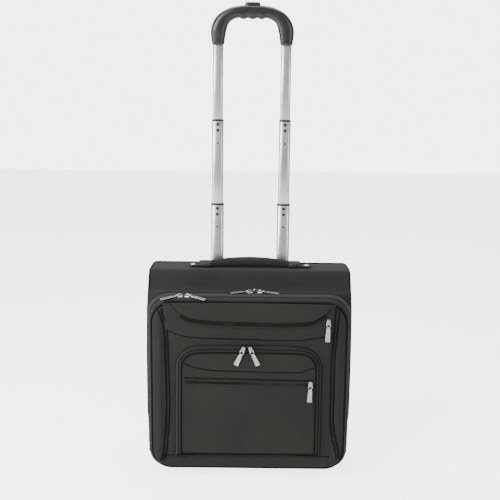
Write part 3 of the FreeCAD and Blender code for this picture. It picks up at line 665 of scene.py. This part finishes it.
def sewn_line(name, face, points, radius, lift, material=None,
              closed=False):
    """A cord or lip sewn down along (x, z) points on a face."""
    line = tube_along(name, laid_on(face, points, lift), radius, closed=closed, resolution=2)
    return finish_piece(line, name, "front_panel", material or PIPING)


def smooth_noise(x, z, scale, seed):
    """Slow unevenness of stuffed cloth, the same on each run."""
    return noise.noise(Vector((x / scale, z / scale, seed)))


def build_front():
    """The stitched front: gusset, board with its piping, and the strip at the foot."""
    outline = rounded_outline(FRONT_HALF + 1.5, FRONT_BASE - 1, FRONT_TOP + 1.5, ROUND_FOOT,
                              ROUND_TOP)

    def depth(x, z, inset):
        rise = 3.4 * quarter_round(inset / 14) - 0.4
        rise += 1.2 * smooth_noise(x, z, 70, 3.1) * smooth_step(inset / 25)
        rise -= groove(inset - 8.5, 1.7, 0.9)
        side = abs(x) - 171
        rise -= 1.6 * (groove(side, 2.2, 1) + groove(side - 6.5, 2.2, 1))
        rise += 2.2 * groove(side - 17, 8, 1)
        rise -= groove(z - 55 - 3 * math.cos(x / 70), 2.4, 1.6) * smooth_step((185 - abs(x)) / 12)
        return rise

    face = pad_face("front_face", trace(outline, 300), FRONT, 46, depth, -84.0)
    finish_piece(face, "front_face", "front_panel", TWILL_FACE, angle=60,
                 replaces=("front_board",))
    loops = []
    for y, grow in ((-75, -0.6), (-77, 0.2), (-79.5, 0.2), (-82, -0.6), (-84.5, -2.0),
                    (-86.5, -3.6), (-87.8, -5.6), (-86, -7.4), (-80, -6), (-75, -3)):
        loops.append(ring_path(grow, y))
    loops.append(loops[0])
    edge = loft("front_edge", loops)
    finish_piece(edge, "front_edge", "front_panel", TWILL,
                 replaces=("front_gusset",))
    cord = tube_along("front_cord", [(x, -88.6, z) for x, z in rounded_outline(
        FRONT_HALF + 3.4, FRONT_BASE - 2.6, FRONT_TOP + 3.0, ROUND_FOOT + 2, ROUND_TOP + 1,
        step=4)], 2.3, closed=True)
    finish_piece(cord, "front_cord", "front_panel", PIPING,
                 replaces=("front_piping",))
    for name, side, line in (("left", -1, LEFT_SEAM), ("right", 1, RIGHT_SEAM)):
        for apart in (0, 1):
            sewn_line(f"side_cord_{name}_{apart}", face, [
                (p.x + side * 6.5 * apart, p.y) for p in soft_line(line, 4)],
                      1.4 + 0.3 * apart, 0.3)
    sewn_line("foot_strip_seam", face, [(x, 55 + 3 * math.cos(x / 70))
                                        for x in range(-172, 178, 5)], 1.0, 0.2)
    seam = laid_on(face, trace(rounded_outline(
        FRONT_HALF - 6.2, FRONT_BASE + 7, FRONT_TOP - 6.5, ROUND_FOOT - 7, ROUND_TOP - 7), 260),
        0.15)
    stitches("front_stitching", seam + seam[:1], 4.2, TO_FRONT, "front_panel",
             THREAD)


def pocket_outline(half, low, high, shoulder, foot, wander=0.0):
    """A pocket's outline: square at the foot, with wide rounded shoulders."""
    right = [(half, low + foot), (half, (low + high) / 2), (half - 1, high - shoulder),
             (half - shoulder * 0.12, high - shoulder * 0.62),
             (half - shoulder * 0.38, high - shoulder * 0.28),
             (half - shoulder * 0.75, high - shoulder * 0.09), (half - shoulder * 1.25, high - 1)]
    top = [(half * 0.35, high + wander), (0, high + wander), (-half * 0.35, high + wander)]
    left = [(-x, z) for x, z in reversed(right)]
    foot_line = [(foot - half, low + foot * 0.15), (-half * 0.4, low), (0, low - 0.5),
                 (half * 0.4, low), (half - foot, low + foot * 0.15),
                 (half - foot * 0.2, low + foot * 0.5)]
    return soft_line(right + top + left + foot_line + [right[0]], 4)[:-1]


def build_lower_pocket():
    """The arched pocket, with its curved seam and the lips of its welt."""
    outer = trace(pocket_outline(153, 57, 297.5, 46, 6), 260)
    inner = pocket_outline(140.5, 61, 283.5, 32, 4)

    def depth(x, z, inset):
        rise = 10.4 * quarter_round(inset / 13.5)
        rise += 0.9 * smooth_step((inset - 20) / 60)
        rise += 0.8 * smooth_noise(x, z, 60, 7.7) * smooth_step((inset - 16) / 20)
        rise -= groove(inset - 13.5, 2.0, 0.8)
        reach = smooth_step((133 - abs(x)) / 6)
        rise -= groove(z - curve_height(SMILE, x), 2.2, 1.5) * reach
        rise -= groove(z - 227 + x * 0.014, 1.6, 1.0) * reach
        return rise

    face = pad_face("lower_pocket_face", outer, FRONT - 1.5, 64, depth, -89.0)
    finish_piece(face, "lower_pocket_face", "front_panel", TWILL_FACE, angle=60,
                 replaces=("lower_pocket",))
    sewn_line("pocket_cord", face, inner, 1.7, 0.2, closed=True)
    rim = tube_along("pocket_rim_cord", [(p.x, FRONT - 2.2, p.y) for p in outer], 1.3,
                     closed=True)
    finish_piece(rim, "pocket_rim_cord", "front_panel", PIPING)
    mid = pocket_outline(147, 59, 290.5, 39, 5)
    sewn_line("pocket_mid_seam", face, mid, 0.9, 0.2, closed=True)
    sewn_line("smile_seam", face, soft_line(SMILE, 4), 1.0, 0.1)
    sewn_line("welt_upper_seam", face, soft_line((
        (-134, 229.0), (0, 227.0), (137, 225.2)), 4), 1.0, 0.1)
    for name, height in (("welt_lip_upper", 222.6), ("welt_lip_lower", 213.6)):
        sewn_line(name, face, [(x, height - x * 0.013) for x in range(-133, 136, 6)], 1.9, 0.4,
                  TWILL_FACE)
    dots = laid_on(face, [(p.x, p.y - 3.6) for p in soft_line(SMILE, 3)],
                   0.15)
    stitches("smile_stitching", dots, 3.6, TO_FRONT, "front_panel", THREAD)


def build_upper_pocket():
    """The wide pocket under a curved flap."""
    outline = trace(POCKET_SEAM + soft_line([
        (177, 326), (178.5, 345), (178.5, 370), (176, 382), (165, 385.5), (0, 387),
        (-165, 386), (-177, 382), (-179.5, 370), (-179, 345), (-176, 330)], 5), 260)

    def depth(x, z, inset):
        flap = curve_height(FLAP_EDGE, x)
        rise = 4.6 * quarter_round(inset / 10) - 1.0
        rise += 0.9 * smooth_noise(x, z, 50, 1.3) * smooth_step(inset / 20)
        rise += 1.8 * smooth_step((z - flap) / 2.6)
        rise -= groove(z - flap + 11.5, 1.8, 1.0) * smooth_step((160 - abs(x)) / 10)
        return rise

    face = pad_face("upper_pocket_face", outline, FRONT - 1.0, 44, depth, -88.5)
    finish_piece(face, "upper_pocket_face", "front_panel", TWILL_FACE, angle=60,
                 replaces=("upper_pocket",))
    edge = soft_line(FLAP_EDGE[1:-1], 4)
    sewn_line("flap_edge_cord", face, edge, 1.0, 0.0)
    stitches("flap_stitching", laid_on(face, [(p.x, p.y + 4.4) for p in edge], 0.15), 3.8,
             TO_FRONT, "front_panel", THREAD)
    sewn_line("flap_under_lip", face, [(p.x, p.y - 9.5) for p in edge[6:-6]], 1.7, 0.3,
              TWILL_FACE)
    # Cord along the pocket's foot seam: the seam is real, and its near-black colour is also painted
    # shadow under the overhanging roll of the pocket.
    sewn_line("pocket_foot_seam_painted_shadow", face, [(p.x, p.y + 2.6) for p in soft_line(
        POCKET_SEAM, 4)], 1.1, 0.2)


def front_zip(name, path):
    """A closed zip on the front: two tapes and a double row of coil teeth."""
    points = [Vector(p) for p in path]
    verts, faces, carry, flip = [], [], 0.0, 1
    for a, b in zip(points, points[1:]):
        span = (b - a).length
        way = (b - a) / span
        across = way.cross(Vector((0, 1, 0))).normalized()
        while carry < span:
            spot = a + way * carry + across * 0.9 * flip
            base = len(verts)
            for reach, rise in ((-1.9, 0.0), (-1.5, 0.9), (1.5, 0.9), (1.9, 0.0)):
                for turn in (-0.45, 0.45):
                    verts.append(spot + across * reach + Vector((0, -rise, 0)) + way * turn)
            faces += tooth_faces(base)
            flip = -flip
            carry += TOOTH_PITCH / 2
        carry -= span
    coil = mesh_object(f"{name}_coil", verts, faces)
    outward(coil)
    finish_piece(coil, f"{name}_coil", "front_panel", COIL, angle=60)
    verts, faces = [], []
    for index, point in enumerate(points):
        ahead = points[min(index + 1, len(points) - 1)] - points[max(index - 1, 0)]
        across = ahead.cross(Vector((0, 1, 0))).normalized()
        for reach, rise in ((-3.6, -0.4), (-3.4, 0.15), (-1.0, 0.3), (1.0, 0.3), (3.4, 0.15),
                            (3.6, -0.4)):
            verts.append(point + across * reach + Vector((0, -rise, 0)))
        if index:
            a, b = (index - 1) * 6, index * 6
            faces += [(a + i, a + (i + 1) % 6, b + (i + 1) % 6, b + i) for i in range(6)]
    last = (len(points) - 1) * 6
    faces += [tuple(range(6)), tuple(range(last, last + 6))[::-1]]
    tape = mesh_object(f"{name}_tape", verts, faces)
    outward(tape)
    finish_piece(tape, f"{name}_tape", "front_panel", TAPE)


# ---- carry handle -----------------------------------------------------------------------
CARRY_HALF, CARRY_STEPS = 86.5, 40


def carry_line(step):
    """Where a step along the pad is: its x, its middle's height, and its rise from 0 to 1."""
    t = step / CARRY_STEPS
    arch = math.sin(math.pi * t) ** 0.75
    return -CARRY_HALF + 2 * CARRY_HALF * t, 444.4 + 5.3 * arch, arch


def build_carry_handle():
    """The arched padded grip, thickest in the middle, with a cord along each side."""
    low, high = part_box("carry_handle_grip")
    mid_y = (low.y + high.y) / 2 / MM
    loops = []
    for step in range(CARRY_STEPS + 1):
        x, centre, arch = carry_line(step)
        wide, thick = 11.6 + 3.0 * arch, 6.2 + 3.3 * arch
        lean = math.cos(math.pi * step / CARRY_STEPS) * 0.2
        loops.append([(x + lean * v, mid_y + wide * u, centre + thick * v)
                      for u, v in squircle(28, PAD_CROWN)])
    grip = loft("carry_pad", loops, cap_start=True, cap_end=True)
    finish_piece(grip, "carry_pad", "carry_handle", TWILL, angle=60,
                 replaces=("carry_handle_grip",))
    for side, label in ((-1, "front"), (1, "back")):
        line = []
        for step in range(1, CARRY_STEPS):
            x, centre, arch = carry_line(step)
            line.append((x, mid_y + side * (10.7 + 3.6 * arch) * 0.95, centre))
        cord = tube_along(f"carry_seam_{label}", line, 1.0, resolution=2)
        finish_piece(cord, f"carry_seam_{label}", "carry_handle", PIPING)


def slab(name, low, high, corner, edge, along):
    """A cube drawn out to a box, with the four edges along one axis rounded and all
    its rims softened."""
    if bpy.context.selected_objects:
        bpy.ops.object.select_all(action="DESELECT")
    middle = [(a + b) / 2 * MM for a, b in zip(low, high)]
    bpy.ops.mesh.primitive_cube_add(size=1, location=middle)
    obj = bpy.context.active_object
    obj.name = name
    obj.scale = [(b - a) * MM for a, b in zip(low, high)]
    bpy.ops.object.transform_apply(location=True, rotation=True, scale=True)
    bpy.ops.object.mode_set(mode="EDIT")
    bpy.ops.mesh.select_mode(type="EDGE")
    bpy.ops.mesh.select_all(action="DESELECT")
    mesh = bmesh.from_edit_mesh(obj.data)
    for side in mesh.edges:
        run = side.verts[0].co - side.verts[1].co
        side.select_set(abs(run.normalized()[along]) > 0.9)
    bmesh.update_edit_mesh(obj.data)
    bpy.ops.mesh.bevel(offset=corner * MM, segments=8, affect="EDGES")
    bpy.ops.object.mode_set(mode="OBJECT")
    apply_modifier(obj, "BEVEL", width=edge * MM, segments=3, limit_method="ANGLE",
                   angle_limit=math.radians(50))
    return obj


def build_handle_fixings():
    """Webbing tongues under the carry handle, their cover ends and the domed studs."""
    low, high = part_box("carry_handle_strap")
    tongues, covers = [], []
    for side in (-1, 1):
        near, far = sorted((side * 82.0, side * high.x / MM))
        tongues.append(slab("tongue", (near, low.y / MM, 438.0), (far, high.y / MM, 441.4),
                            6.0, 0.9, 2))
        near, far = sorted((side * 84.0, side * 105.0))
        covers.append(slab("cover", (near, 29.2, 437.0), (far, 54.8, 447.6), 5.0, 3.2, 2))
        stud = round_casting("stud", ((0, -0.6), (6.4, -0.6), (6.7, 0.2), (6.3, 1.1), (4.9, 2.2),
                                      (2.9, 2.9), (1.2, 3.2), (0, 3.2)), 40)
        stud.data.transform(Matrix.Translation((side * 0.1255, 0.042, 0.4416)))
        finish_piece(stud, f"stud_dome_{'left' if side < 0 else 'right'}", "case", CHROME,
                     replaces=("mount_studs",) if side < 0 else ())
    finish_piece(join(tongues), "handle_tongues", "carry_handle", TAPE,
                 replaces=("carry_handle_strap",))
    finish_piece(join(covers), "handle_covers", "case", ABS, angle=60,
                 replaces=("carry_handle_mounts",))


def build_divider():
    """The lined board between the compartments, with a pocket and its bound edge."""
    low, high = (tuple(value / MM for value in corner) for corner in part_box("divider_panel"))
    board = slab("divider_board", low, high, 34.0, 0.6, 1)
    finish_piece(board, "divider_board", "lid", LINING,
                 replaces=("divider_panel",))
    pocket = slab("divider_pocket", (low[0] + 34, high[1] - 0.4, low[2] + 26),
                  (high[0] - 34, high[1] + 3.4, low[2] + 214), 16.0, 1.4, 1)
    finish_piece(pocket, "divider_pocket", "lid", LINING)
    hem = tube_along("divider_hem", [(x, high[1] + 3.5, low[2] + 209) for x in
                                     range(int(low[0]) + 40, int(high[0]) - 38, 8)], 1.3)
    finish_piece(hem, "divider_hem", "lid", PIPING)


# ---- telescopic tubes -------------------------------------------------------------------
def tube_section(side, half_x, half_y, z):
    """One tube's outline at a height."""
    return [(side * TUBE_X + half_x * u, TUBE_Y + half_y * v, z)
            for u, v in squircle(64, TUBE_CROWN)]


def build_tubes(node, body):
    """A pair of drawn tubes with crowned faces, open at both ends."""
    low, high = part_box(node)
    half_x, half_y = high.x / MM - TUBE_X, (high.y - low.y) / MM / 2
    foot, head = low.z / MM, high.z / MM
    tubes = []
    for side in (-1, 1):
        tubes.append(loft("tube", [
            tube_section(side, half_x - inset, half_y - inset, z) for z, inset in
            ((foot, TUBE_WALL), (foot, 0.3), (foot + 0.3, 0), (head - 0.4, 0), (head, 0.4),
             (head, TUBE_WALL))], ring=True))
    finish_piece(join(tubes), f"{node}_drawn", body, ANODISED, angle=50,
                 replaces=(node,))


def build_collars(node, body, tube_node):
    """Collar rings at a stage's top, and the two round pips on its face."""
    low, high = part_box(tube_node)
    half_x, half_y = high.x / MM - TUBE_X, (high.y - low.y) / MM / 2
    head = high.z / MM
    pieces = []
    for side in (-1, 1):
        rows = ((0.4 - TUBE_WALL, head), (0.15, head - 0.2), (0.8, head + 0.1),
                (1.0, head + 0.7), (1.0, head + 2.4), (0.7, head + 2.9), (0.2, head + 3.0),
                (0.4 - TUBE_WALL, head + 3.0))
        pieces.append(loft("collar", [tube_section(side, half_x + grow, half_y + grow, z)
                                      for grow, z in rows], ring=True))
        for drop, size in ((7.3, 1.0), (20.0, 1.0), (48.5, 0.62)):
            pip = round_casting("pip", [(r * size, h) for r, h in (
                (0, -0.6), (3.3, -0.6), (3.4, 0.0), (3.1, 0.12), (1.9, 0.16), (0.6, 0.18),
                (0, 0.18))], 24)
            pip.data.transform(Matrix.Translation((side * TUBE_X * MM, (TUBE_Y - half_y) * MM,
                                                   (head - drop) * MM))
                               @ Matrix.Rotation(math.pi / 2, 4, "X"))
            pieces.append(pip)
    finish_piece(join(pieces), f"{node}_collars", body, ABS, angle=50,
                 replaces=(node,))


# ---- pull handle grip -------------------------------------------------------------------
GRIP_STEPS = 240
GRIP_OUTER = [(-86.4, 917.3), (-87.8, 926), (-89.3, 937), (-89.2, 948), (-86.3, 959.5),
              (-78.6, 973.5), (-65.5, 985.4), (-46.5, 994.4), (-24, 998.8), (0, 999.6)]
GRIP_INNER = [(-60.4, 917.3), (-59.6, 924), (-56.8, 942), (-53.3, 956), (-48.9, 963.8),
              (-40.6, 969.8), (-31.5, 972.9), (-28.0, 973.1), (-23.6, 971.2), (-19.4, 970.2),
              (-15.0, 971.3), (-10.1, 973.2), (-5.4, 971.4), (0, 970.2)]


def even_line(points, count):
    """Count points at even steps along a smooth line."""
    line = soft_line(points, 2)
    total = sum((b - a).length for a, b in zip(line, line[1:]))
    result, walked, index = [], 0.0, 0
    for i in range(count):
        goal = total * i / (count - 1)
        while index < len(line) - 2 and walked + (line[index + 1] - line[index]).length < goal:
            walked += (line[index + 1] - line[index]).length
            index += 1
        span = (line[index + 1] - line[index]).length
        result.append(line[index].lerp(line[index + 1], min((goal - walked) / span, 1)))
    return result


def mirrored(points):
    """A half outline that ends at x = 0, carried on to the other side."""
    return points + [(-x, z) for x, z in reversed(points[:-1])]


def build_grip():
    """The moulded grip with its rear screws, its push button and its two cuffs."""
    angles = [0, 2.5, 6, 15, 30, 45, 60, 75, 90, 105, 120, 135, 150, 165, 174, 177.5]
    angles += [a + 180 for a in angles]
    loops = []
    outer, inner = (even_line(mirrored(side), GRIP_STEPS + 1)
                    for side in (GRIP_OUTER, GRIP_INNER))
    for index, (o, i) in enumerate(zip(outer, inner)):
        centre, half = (o + i) / 2, (o - i) / 2
        end = min(index, GRIP_STEPS - index)
        swell = 0.93 if end == 0 else 1.0 if end > 1 else 0.98
        deep = 12.7 * (0.84 + 0.16 * smooth_step(end / 28))
        loop = []
        for angle in angles:
            c, v = math.cos(math.radians(angle)), math.sin(math.radians(angle))
            r = (abs(c) ** GRIP_CROWN + abs(v) ** GRIP_CROWN) ** (-1 / GRIP_CROWN) * swell
            if angle in (0, 180):
                r *= 0.975
            loop.append((centre.x + half.x * c * r, TUBE_Y - deep * v * r,
                         centre.y + half.y * c * r))
        loops.append(loop)
    grip = loft("grip_body", loops, cap_start=True, cap_end=True)
    finish_piece(grip, "grip_body", "upper_stage", GRIP_PLASTIC, angle=50,
                 replaces=("grip_front_shell", "grip_rear_shell", "grip_screws"))
    for index, (x, z) in enumerate(((-72.6, 936), (72.6, 936), (-42, 983), (42, 983))):
        screw = round_casting("screw", ((0, 0.2), (2.9, 0.2), (3.1, 0.6), (2.9, 1.3), (2.2, 1.7),
                                        (1.2, 1.8), (1.1, 0.9), (0, 0.9)), 24)
        screw.data.transform(Matrix.Translation((x * MM, (TUBE_Y + 12.0) * MM, z * MM))
                             @ Matrix.Rotation(-math.pi / 2, 4, "X"))
        finish_piece(screw, f"grip_screw_{index}", "upper_stage", STEEL)
    loops = []
    for z, half, deep in ((990, 17.3, 8.6), (1002.6, 16.6, 8.3), (1004.2, 15.9, 7.7),
                          (1005.2, 14.9, 6.8), (1005.6, 13.4, 5.4)):
        loops.append([(half * u, TUBE_Y + deep * v, z) for u, v in squircle(48, BUTTON_CROWN)])
    button = loft("grip_button", loops, cap_start=True, cap_end=True)
    finish_piece(button, "grip_button", "button", GRIP_PLASTIC, angle=50,
                 replaces=("release_button",))
    for side in (-1, 1):
        loops = []
        for z, grow in ((917.5, -0.6), (917.5, 0.5), (918.2, 0.9), (921.2, 1.2), (922.0, 0.3)):
            loops.append([(side * 73.6 + (12.4 + grow) * u, TUBE_Y + (10 + grow) * v, z)
                          for u, v in squircle(40, CUFF_CROWN)])
        cuff = loft("grip_cuff", loops, cap_start=True, cap_end=True)
        finish_piece(cuff, f"grip_cuff_{'left' if side < 0 else 'right'}", "upper_stage",
                     GRIP_PLASTIC, angle=50)


# ---- sliders and pulls ------------------------------------------------------------------
TOP_ZIP_Z = 395.0
# x, y and z of each slider, whether it lies on the top, which way its pull points in
# degrees, and where they differ from the usual, its reach and how many degrees it falls
SLIDERS = {
    "main_left": (0.5, MAIN_ZIP, TOP_ZIP_Z, True, 194),
    "main_right": (22.6, MAIN_ZIP, TOP_ZIP_Z, True, -14),
    "organiser_left": (-145.0, ORGANISER_ZIP, TOP_ZIP_Z, True, 204, 40.5, 8.0),
    "organiser_right": (-128.7, ORGANISER_ZIP, TOP_ZIP_Z, True, -24, 40.5, 8.0),
    "upper_pocket": (164.0, FRONT - 6.6, 350.0, False, -92),
    "lower_pocket_left": (-12.0, FRONT - 12.4, 291.5, False, -114, 35.5),
    "lower_pocket_right": (4.0, FRONT - 12.4, 291.5, False, -66, 35.5),
    "welt": (129.0, FRONT - 13.0, 218.0, False, -92, 37.5),
}
PULL_PIN = (1.8, 4.1)


def slot_outline(start, end, half_start, half_end, rounding, count=8):
    """A tapered tab's outline along x with rounded corners."""
    corners = ((end, -half_end, -90), (end, half_end, 0), (start, half_start, 90),
               (start, -half_start, 180))
    outline = []
    for x, y, begin in corners:
        cx = x - rounding if x == end else x + rounding
        cy = y - math.copysign(rounding, y)
        for i in range(count + 1):
            angle = math.radians(begin + 90 * i / count)
            outline.append((cx + rounding * math.cos(angle), cy + rounding * math.sin(angle)))
    return outline


def flat_casting(name, shape, levels):
    """A thin casting from one outline, drawn in by a margin at each level."""
    start, end, half_start, half_end, rounding = shape
    loops = []
    for height, margin in levels:
        loops.append([(x, y, height) for x, y in slot_outline(
            start + margin, end - margin, half_start - margin, half_end - margin,
            max(rounding - margin, 0.2))])
    return loft(name, loops, cap_start=True, cap_end=True)


def round_casting(name, profile, sides):
    """A turned piece about z from (radius, height) points that start and end on the axis."""
    loops = [[(max(r, 0.01) * math.cos(math.tau * k / sides),
               max(r, 0.01) * math.sin(math.tau * k / sides), h) for k in range(sides)]
             for r, h in profile]
    return loft(name, loops, cap_start=True, cap_end=True)


def build_pull(name, x, y, z, on_top, turn, reach=40.5, fall=4.5):
    """A zip slider, and the pull that hangs from its bridge."""
    angle = math.radians(turn)
    if on_top:
        along, out = Vector((math.cos(angle), math.sin(angle), 0)), Vector((0, 0, 1))
    else:
        along, out = Vector((math.cos(angle), 0, math.sin(angle))), Vector((0, -1, 0))
    hinge = Vector((x, y, z)) + along * PULL_PIN[0] + out * PULL_PIN[1]
    tilt = math.radians(fall)
    sides = []
    for way, up, origin in (
            (along, out, Vector((x, y, z))),
            (along * math.cos(tilt) - out * math.sin(tilt),
             out * math.cos(tilt) + along * math.sin(tilt), hinge)):
        across = up.cross(way)
        place = Matrix((way, across, up)).transposed().to_4x4()
        place.translation = origin * MM
        sides.append(place)
    # slider: a plate that narrows toward its tail, and a bridge over it
    plate = flat_casting("plate", (-6.5, 6.0, 3.4, 5.0, 2.2),
                         ((-0.4, 0.6), (0.0, 0.0), (2.0, 0.0), (2.7, 0.5), (2.9, 1.2)))
    bridge = tube_along("bridge", [
        (-4.4, 0, 2.0), (-4.6, 0, 4.2), (-3.4, 0, 5.6), (-1.0, 0, 6.2), (2.0, 0, 6.1),
        (4.0, 0, 5.2), (4.8, 0, 3.8), (4.8, 0, 2.0)], 1.0)
    slider = join([plate, bridge])
    slider.data.transform(sides[0])
    finish_piece(slider, f"slider_casting_{name}", f"slider_{name}", NICKEL,
                 replaces=(f"slider_{name}",))
    # pull: a ring through the bridge, an eye, and a tab with a sunken panel
    ring = tube_along("ring", [(3.6 + 4.9 * math.cos(a), 4.0 * math.sin(a), 0) for a in
                               [math.tau * k / 28 for k in range(28)]], 0.95, closed=True)
    eye = flat_casting("eye", (7.2, 12.5, 2.6, 3.6, 1.2),
                       ((-1.1, 0.5), (-0.8, 0.0), (0.8, 0.0), (1.1, 0.5)))
    tab = flat_casting("tab", (11.5, reach, 4.1, 5.2, 1.6),
                       ((-1.0, 0.5), (-0.6, 0.0), (0.6, 0.0), (1.0, 0.4), (1.0, 1.3),
                        (0.55, 1.7)))
    pull = join([ring, eye, tab])
    pull.data.transform(sides[1])
    finish_piece(pull, f"pull_tab_{name}", f"pull_{name}", NICKEL,
                 replaces=(f"pull_{name}",))


def build_lock_loop():
    """The wire loop that a small padlock passes through, between the main sliders."""
    loop = tube_along("lock_loop", [(8.6, -31, 394.5), (8.4, -31, 399), (9.2, -31, 402.5),
                                    (11.3, -31, 404), (13.4, -31, 402.5), (14.2, -31, 399),
                                    (14.0, -31, 394.5)], 0.95)
    finish_piece(loop, "lock_loop", "case", NICKEL)


# ---- finishes for the nodes that keep their own shape --------------------------------------
def paint(material, *names):
    """Gives CAD nodes a finish in place of their plain one."""
    for name in names:
        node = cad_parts[name]
        slots = node.material_slots
        if not slots:
            node.data.materials.append(material)
        for place in slots:
            place.material = material


paint(ABS, "handle_bezel", "tube_foot_bracket", "wheel_housing_left", "wheel_housing_right",
      "hub_left", "hub_right", "skid_rails", "front_feet", "upper_stage_plugs", "release_yoke")
paint(RUBBER, "tyre_left", "tyre_right")
paint(STEEL, "wheel_axles", "release_springs", "lock_pin_left", "lock_pin_right")

build_case_body()
case_piping()
zip_half("main_zip_case", MAIN_ZIP, 1, "case", "main_zip_case_half")
zip_half("main_zip_lid", MAIN_ZIP, -1, "lid", "lid_zip_halves")
zip_half("organiser_zip_lid", ORGANISER_ZIP, 1, "lid", None)
zip_half("organiser_zip_front", ORGANISER_ZIP, -1, "front_panel", "front_zips")
gusset("lid_band", -37.0, -67.0, "lid", TWILL, "lid_gusset")
build_front()
build_lower_pocket()
build_upper_pocket()
front_zip("upper_zip", [(p.x, FRONT - 4.6, p.y - 5.0) for p in soft_line(
    FLAP_EDGE[2:-2], 4)])
front_zip("welt_zip", [(x, FRONT - 12.2, 218.2 - x * 0.013) for x in range(-130, 133, 6)])
build_carry_handle()
build_handle_fixings()
build_divider()
for stage_node, stage_body in (("outer_tubes", "case"), ("lower_stage_tubes", "lower_stage"),
                               ("middle_stage_tubes", "middle_stage"),
                               ("upper_stage_tubes", "upper_stage")):
    build_tubes(stage_node, stage_body)
build_collars("lower_stage_fittings", "lower_stage", "lower_stage_tubes")
build_collars("middle_stage_fittings", "middle_stage", "middle_stage_tubes")
build_grip()
for pull_name, spot in SLIDERS.items():
    build_pull(pull_name, *spot)
build_lock_loop()


# ---- floor, light and camera ------------------------------------------------------------
def pale_floor():
    """A wide pale floor, brighter to the eye than as a light on the case."""
    bpy.ops.mesh.primitive_plane_add(size=12, location=(0, 2, 0))
    floor = bpy.context.active_object
    material, tree, shader, place = new_material("pale_studio_floor")
    cloud = add_node(tree, "ShaderNodeTexNoise", {"Scale": 3.0, "Detail": 2.0}, Vector=place)
    tone = add_node(tree, "ShaderNodeValToRGB", Fac=cloud.outputs["Fac"])
    tone.color_ramp.elements[0].color = linear("#fbfbfa")
    tone.color_ramp.elements[1].color = linear("#ffffff")
    tree.links.new(tone.outputs["Color"], shader.inputs["Base Color"])
    shader.inputs["Roughness"].default_value = 0.8
    shader.inputs["Emission Color"].default_value = linear("#ffffff")
    direct = add_node(tree, "ShaderNodeLightPath")
    glow = add_node(tree, "ShaderNodeMapRange", {"To Min": 0.35, "To Max": 3.4},
                    Value=direct.outputs["Is Camera Ray"])
    tree.links.new(glow.outputs["Result"], shader.inputs["Emission Strength"])
    floor.data.materials.append(material)
    floor.name = "floor"


def area_light(name, place, aim, size, power):
    """A rectangular lamp at a place, turned toward its aim."""
    lamp = bpy.data.lights.new(name, "AREA")
    lamp.shape = "RECTANGLE"
    lamp.size, lamp.size_y = size
    lamp.energy = power
    obj = bpy.data.objects.new(name, lamp)
    obj.location = place
    obj.rotation_euler = (Vector(aim) - Vector(place)).to_track_quat("-Z", "Y").to_euler()
    bpy.context.collection.objects.link(obj)


pale_floor()
world = bpy.data.worlds.new("studio")
world.use_nodes = True
sky = world.node_tree
backdrop = sky.nodes["Background"]
backdrop.inputs["Color"].default_value = linear("#ffffff")
seen = add_node(sky, "ShaderNodeLightPath")
glow = add_node(sky, "ShaderNodeMapRange", {"To Min": 0.5, "To Max": 5.0},
                Value=seen.outputs["Is Camera Ray"])
sky.links.new(glow.outputs["Result"], backdrop.inputs["Strength"])
bpy.context.scene.world = world
area_light("key", (-1.5, -1.7, 1.9), (0, 0, 0.4), (0.9, 1.6), 75)
area_light("left_strip", (-1.9, -0.7, 0.8), (0, 0.05, 0.65), (0.5, 1.8), 34)
area_light("fill", (1.7, -1.4, 1.2), (0, 0, 0.4), (0.5, 1.4), 16)
area_light("top", (0, 0.4, 2.4), (0, 0, 0.4), (1.6, 1.2), 30)

# The eye is 1.7 m in front and 0.8 m up, looks down by 10.2 degrees and rolls a little
EYE, DOWNWARD, ROLL = (0.0, -1.7146, 0.791), 10.2, 0.0112
camera = bpy.data.objects.new("camera", bpy.data.cameras.new("camera"))
camera.data.lens = 58.3
camera.data.sensor_width = 36
camera.matrix_world = (Matrix.Translation(EYE)
                       @ Matrix.Rotation(math.radians(90 - DOWNWARD), 4, "X")
                       @ Matrix.Rotation(ROLL, 4, "Z"))
bpy.context.collection.objects.link(camera)
bpy.context.scene.camera = camera
